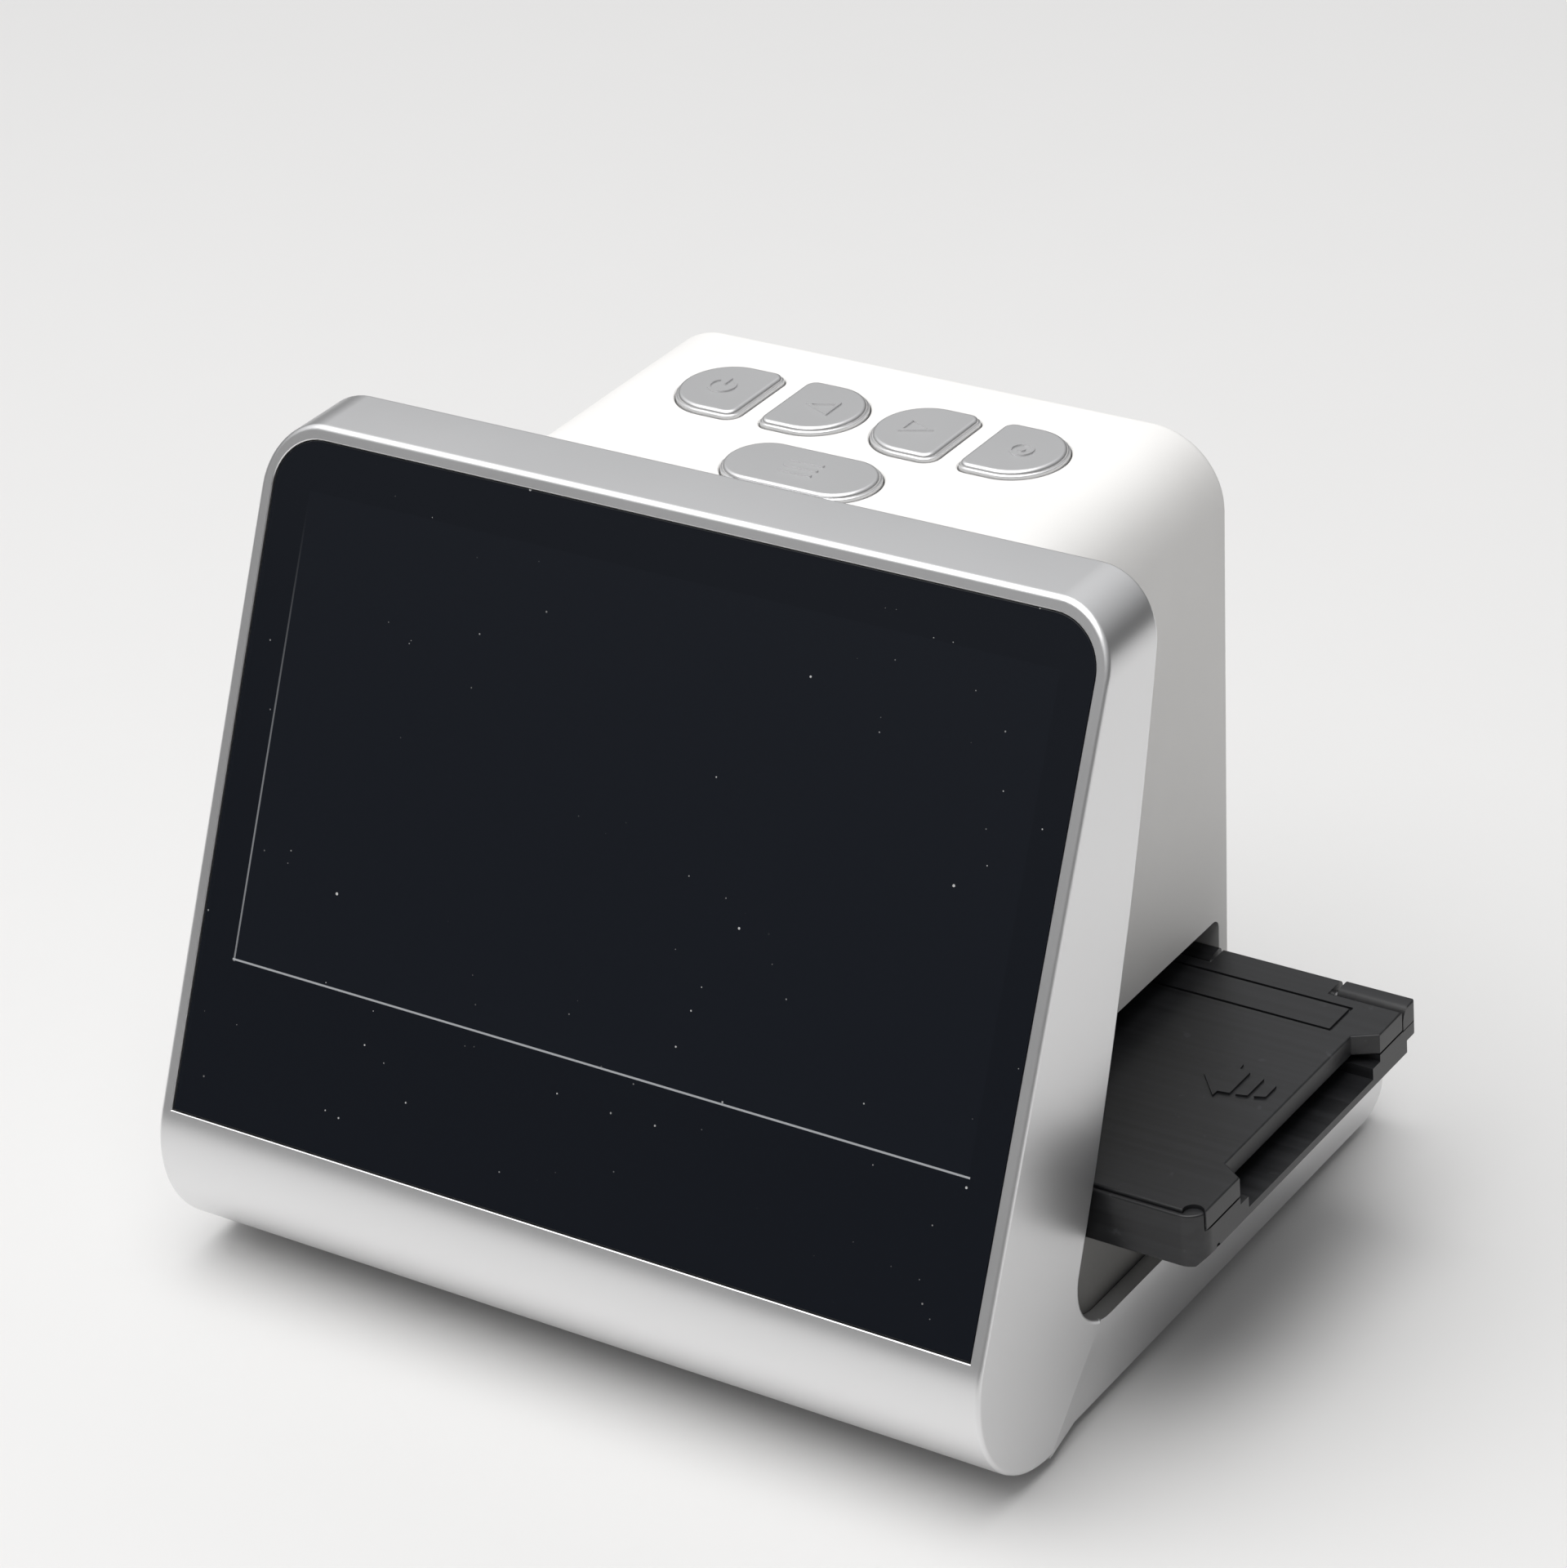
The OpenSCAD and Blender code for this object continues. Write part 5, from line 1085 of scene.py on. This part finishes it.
def build_tray(looks):
    """Tray with its front lip, the hinge's outer knuckles and the film's channel and exits."""
    edge = looks.edge / MM
    tray = rounded_slab("holder_tray", tray_shape, TRAY_Z, LID_TOP - 0.5, edge)
    behind = block("behind", (-90, HOLDER_FRONT + LIP_T, TRAY_TOP), (99, 99, 50))
    for side in (-1, 1):
        carve(behind, *corner_seat(side, 0))
    carve(tray, behind)
    for side in (-1, 1):
        end = AXIS_X + side * HOLDER_L / 2
        x0, x1 = span(side, -3, 1, end)
        cut, high = end - side * END_CUT, TRAY_Z + END_CUT
        slope = [(cut, TRAY_Z - 1), (cut, TRAY_Z), (end, high), (end + side, high),
                 (end + side, TRAY_Z - 1)]
        carve(tray, prism("slope", slope, 0, 99, "Y"),
              block("step", (x0, HOLDER_REAR - 2.8, 20), (x1, 99, TRAY_TOP - 1.9)))
    for side in (-1, 1):
        for start, stop in ((KNUCKLE_X + 0.5, HOLDER_L / 2 + 1), (0, RAIL_X - 0.4)):
            x0, x1 = span(side, start, stop)
            knuckle = combine(prism("knuckle", [
                (HINGE_Y - KNUCKLE_R, TRAY_TOP - 0.5), (HINGE_Y + KNUCKLE_R, TRAY_TOP - 0.5)]
                + arc((HINGE_Y + KNUCKLE_R - 0.6, LID_TOP - 0.6), 0.6, 0, 90, 6)
                + arc((HINGE_Y, HINGE_Z), KNUCKLE_R, 90, 180, 12), x0, x1, "X"), "INTERSECT",
                rounded_slab("limit", tray_shape, TRAY_Z, LID_TOP, edge))
            combine(tray, "UNION", knuckle)
        end = AXIS_X + side * HOLDER_L / 2
        gap, mouth = span(side, RAIL_X, KNUCKLE_X), span(side, -EXIT_L, 2, end)
        y0, y1 = FRAME_Y - FILM_W / 2 + EXIT_SLANT, FRAME_Y + FILM_W / 2 - EXIT_SLANT
        carve(tray,
              block("gap", (gap[0], HINGE_Y - KNUCKLE_R - 0.3, HINGE_Z - KNUCKLE_R - 0.15),
                    (gap[1], 99, 50)),
              block("exit", (mouth[0], y0, EXIT_Z), (mouth[1], y1, 40)),
              magnet_seat(side, TRAY_TOP - MAGNET_H, 40),
              block("seam", (end - SEAM, HINGE_Y - 2, TRAY_TOP - 0.08),
                    (end + SEAM, 99, TRAY_TOP + 0.08)),
              rod("nick", (HOLDER_FRONT + 4.3, TRAY_Z + END_CUT + 0.1), NICK_R, end - 1.2,
                  end + 1.2, "X", 16))
    carve(tray,
          block("channel", (-90, FRAME_Y - FILM_W / 2, TRAY_TOP - FILM_T),
                (99, FRAME_Y + FILM_W / 2, TRAY_TOP + 1)),
          prism("window", film_window(), 20, 40, "Z"),
          rod("detent", (AXIS_X, HOLDER_FRONT), DETENT_R, 20, TRAY_Z + 2))
    finish(tray, "holder", "holder_plastic", "holder_tray")


def build_lid(looks):
    """Lid with the hinge's inner knuckles, its arrow, the empty frame and the window."""
    lid = rounded_slab("holder_lid", lid_shape, LID_Z, LID_TOP, looks.edge / MM)
    for side in (-1, 1):
        x0, x1 = span(side, RAIL_X + KNUCKLE_GAP, RAIL_X + KNUCKLE_GAP + LID_KNUCKLE)
        combine(lid, "UNION", prism("knuckle", [
            (LID_REAR - 0.7, LID_Z), (HINGE_Y + 0.4, LID_Z)]
            + arc((HINGE_Y + KNUCKLE_R - 1.0, HINGE_Z), 1.0, -60, 0, 6)
            + arc((HINGE_Y + KNUCKLE_R - 1.0, LID_TOP - 1.0), 1.0, 0, 90, 8)
            + [(LID_REAR - 0.7, LID_TOP)], x0, x1, "X"))
        carve(lid, rod("bore", (HINGE_Y, HINGE_Z), PIN_BORE_R, x0 - 1, x1 + 1, "X"),
              magnet_seat(side, LID_Z - 1, LID_Z + MAGNET_H), *corner_seat(side, LID_GAP))
    combine(lid, "UNION", *[
        prism("mark", [(ARROW_TIP[0] + x, ARROW_TIP[1] + y) for x, y in shape], LID_TOP - 0.5,
              LID_TOP + looks.arrow / MM, "Z") for shape in ARROW])
    w, d = LABEL_X[1] - LABEL_X[0], LABEL_Y[1] - LABEL_Y[0]
    centre = (sum(LABEL_X) / 2, sum(LABEL_Y) / 2)
    inner = round_rect(w - 2 * LABEL_LINE, d - 2 * LABEL_LINE, 0.1, centre)
    border = carve(prism("border", round_rect(w, d, 0.2, centre),
                         LID_TOP - looks.engraving / MM, 40, "Z"),
                   prism("core", inner, 20, 50, "Z"))
    carve(lid, border, stack("window", [(film_window(), 20), (film_window(), LID_TOP - 1.0),
                                        (film_window(2.4, 1.2), LID_TOP + 0.2)]))
    finish(lid, "lid", "holder_plastic", "holder_lid")


class SCANNER_OT_holder(bpy.types.Operator):
    """Builds the film holder's tray and lid"""

    bl_idname = "scanner.holder"
    bl_label = "Film holder"

    def execute(self, context):
        looks = context.scene.scanner_holder
        build_tray(looks)
        build_lid(looks)
        return {"FINISHED"}


# --- Fasteners, inner parts and stage ---

SCREW = {"Shank radius": SCREW_R, "Head radius": HEAD_R, "Head top radius": 1.5,
         "Head foot": 0.8, "Head crown": 0.4, "Slot width": 0.5, "Slot depth": HEAD_H}
FOOT = {"Radius": 6.0, "Sole radius": 5.5, "Seat": FOOT_SEAT, "Wall": 1.1, "Round": 0.5}
PLATE_SCREW_X, PLATE_SCREW_ROWS = PLATE_HALF - 6.5, (41, STAND_D - 24.5)
FOOT_X, FOOT_ROWS = PLATE_HALF - 10.5, (30, STAND_D - 14)


def under_base(x, rows, z):
    """Places that face down, on both sides of the base."""
    return [((side * x, y, z), (0, 0, -1)) for side in (-1, 1) for y in rows]


class SCANNER_OT_fasteners(bpy.types.Operator):
    """Builds the visible screws and the rubber feet with Geometry Nodes"""

    bl_idname = "scanner.fasteners"
    bl_label = "Screws and feet"

    def execute(self, context):
        screw = lathe_tree("screw", [("Shank radius", "Shank radius", "Shank length"),
                                     ("Head radius", "Head radius", "Head foot"),
                                     ("Head radius", "Head top radius", "Head crown")])
        foot = lathe_tree("foot", [("Radius", "Radius", "Seat"), ("Radius", "Radius", "Wall"),
                                   ("Radius", "Sole radius", "Round")], cross=False)
        cover = [(tuple(Vector(point) - Vector(facing) * (COVER_SCREW_L + HEAD_H)), facing)
                 for point, facing in cover_places()]
        plate = under_base(PLATE_SCREW_X, PLATE_SCREW_ROWS,
                           FOOT_H + PLATE_T + PAD_H + PLATE_SCREW_L)
        for name, places, length in (("leg_cover_screws", cover, COVER_SCREW_L),
                                     ("base_plate_screws", plate, PLATE_SCREW_L)):
            repeat(name, screw, places, "steel", dict(SCREW, **{"Shank length": length}))
        repeat("rubber_feet", foot, under_base(FOOT_X, FOOT_ROWS, FOOT_H + FOOT_SEAT),
               "rubber_feet", FOOT)
        return {"FINISHED"}


class SCANNER_OT_inner(bpy.types.Operator):
    """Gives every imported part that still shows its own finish"""

    bl_idname = "scanner.inner"
    bl_label = "Inner parts"

    def execute(self, context):
        for part in frame["record"]["subparts"]:
            obj = frame["nodes"][part["node"]]
            if obj.hide_render:
                continue
            material = finish_of(part["material_slot"])
            if not obj.material_slots:
                obj.data.materials.append(material)
            for place in obj.material_slots:
                place.material = material
        return {"FINISHED"}


SKY, SEEN_SKY = (0.985, 0.99, 1.0, 1), 0.8  # its colour, and its brightness to the camera
# The camera's place and turn, and the soft light's, in metres and degrees
EYE_PLACE, EYE_TURN = (0.35267, -0.48893, 0.40343), (60.6037, 4.3525, 33.4742)
KEY_PLACE, KEY_AIM, KEY_SIZE, KEY_COLOUR = (
    (-0.14, -0.26, 1.25), (0, 0, 0.05), 1.5, (1.0, 0.995, 0.985))


def place_in_scene(name, data, place):
    """Adds a lamp or camera at a place."""
    obj = bpy.data.objects.new(name, data)
    bpy.context.scene.collection.objects.link(obj)
    obj.location = place
    return obj


class SCANNER_OT_stage(bpy.types.Operator):
    """Sets the pale floor, the soft light and the camera"""

    bl_idname = "scanner.stage"
    bl_label = "Stage"

    def execute(self, context):
        scene, looks = context.scene, context.scene.scanner_stage
        floor = mesh_object("floor", [(-3, -3, 0), (3, -3, 0), (3, 3, 0), (-3, 3, 0)],
                            [(0, 1, 2, 3)])
        paint = Paint("floor")
        cloud = paint.noise(5, 4)
        fine = paint.noise(60, 4)
        tone = paint.mix(cloud * 0.6 + fine * 0.4, shade(looks.floor, 0.985),
                         shade(looks.floor, 1.01))
        floor.data.materials.append(paint.set(Base_Color=tone, Roughness=0.5))

        light = bpy.data.lights.new("key", "AREA")
        light.shape, light.size, light.energy = "DISK", KEY_SIZE, looks.key
        light.color = KEY_COLOUR
        aim = Vector(KEY_AIM) - Vector(KEY_PLACE)
        lamp = place_in_scene("key", light, KEY_PLACE)
        lamp.rotation_euler = aim.to_track_quat("-Z", "Y").to_euler()

        world = bpy.data.worlds.new("studio")
        world.use_nodes = True
        world.node_tree.nodes.clear()
        studio = Nodes(world.node_tree)
        place = studio.node("ShaderNodeTexCoord", {}, {}, "Generated")
        x, y, z = studio.parts(place)
        lift = studio.node("ShaderNodeMath", {"operation": "MAXIMUM"}, {0: z, 1: 0.0})
        # Dim at the floor, brighter in two steps overhead, and brighter towards -x
        ceiling = 0.04 + lift.ramp(0.18, 0.6) * 0.56 + lift.ramp(0.6, 1.0) * 0.35
        glow = ceiling * (1.05 - x * 0.62 + y * 0.08) * looks.fill
        seen = studio.node("ShaderNodeLightPath", {}, {})
        sky = studio.node("ShaderNodeBackground", {}, {
            "Color": SKY, "Strength": glow * (1 - seen) + seen * SEEN_SKY})
        studio.node("ShaderNodeOutputWorld", {}, {"Surface": sky}, None)
        scene.world = world

        camera = bpy.data.cameras.new("view")
        camera.lens, camera.sensor_width, camera.sensor_fit = looks.lens, 36.0, "AUTO"
        camera.clip_start = 0.01
        eye = place_in_scene("view", camera, EYE_PLACE)
        eye.rotation_euler = [math.radians(a) for a in EYE_TURN]
        scene.camera = eye
        scene.view_settings.view_transform = "Standard"
        return {"FINISHED"}


OPERATORS = (SCANNER_OT_stage, SCANNER_OT_stand, SCANNER_OT_screen, SCANNER_OT_tower,
             SCANNER_OT_buttons, SCANNER_OT_holder, SCANNER_OT_fasteners, SCANNER_OT_inner)


class SCANNER_PT_panel(bpy.types.Panel):
    bl_idname = "SCANNER_PT_panel"
    bl_label = "Film scanner"
    bl_space_type = "VIEW_3D"
    bl_region_type = "UI"
    bl_category = "Scanner"

    def draw(self, context):
        layout = self.layout
        for name in GROUPS:
            group = getattr(context.scene, name)
            box = layout.box()
            for key in group.bl_rna.properties.keys():
                if key not in ("rna_type", "name"):
                    box.prop(group, key)
        for operator in OPERATORS:
            layout.operator(operator.bl_idname)


GROUPS = {"scanner_shell": ShellLooks, "scanner_screen": ScreenLooks,
          "scanner_buttons": ButtonLooks, "scanner_holder": HolderLooks,
          "scanner_fasteners": FastenerLooks, "scanner_stage": StageLooks}


def register():
    for group in GROUPS.values():
        bpy.utils.register_class(group)
    for operator in OPERATORS:
        bpy.utils.register_class(operator)
    bpy.utils.register_class(SCANNER_PT_panel)
    for name, group in GROUPS.items():
        setattr(bpy.types.Scene, name, PointerProperty(type=group))


def unregister():
    for name in GROUPS:
        delattr(bpy.types.Scene, name)
    bpy.utils.unregister_class(SCANNER_PT_panel)
    for operator in reversed(OPERATORS):
        bpy.utils.unregister_class(operator)
    for group in reversed(list(GROUPS.values())):
        bpy.utils.unregister_class(group)


def main():
    register()
    for operator in OPERATORS:
        area, name = operator.bl_idname.split(".")
        getattr(getattr(bpy.ops, area), name)()


if __name__ == "__main__":
    main()
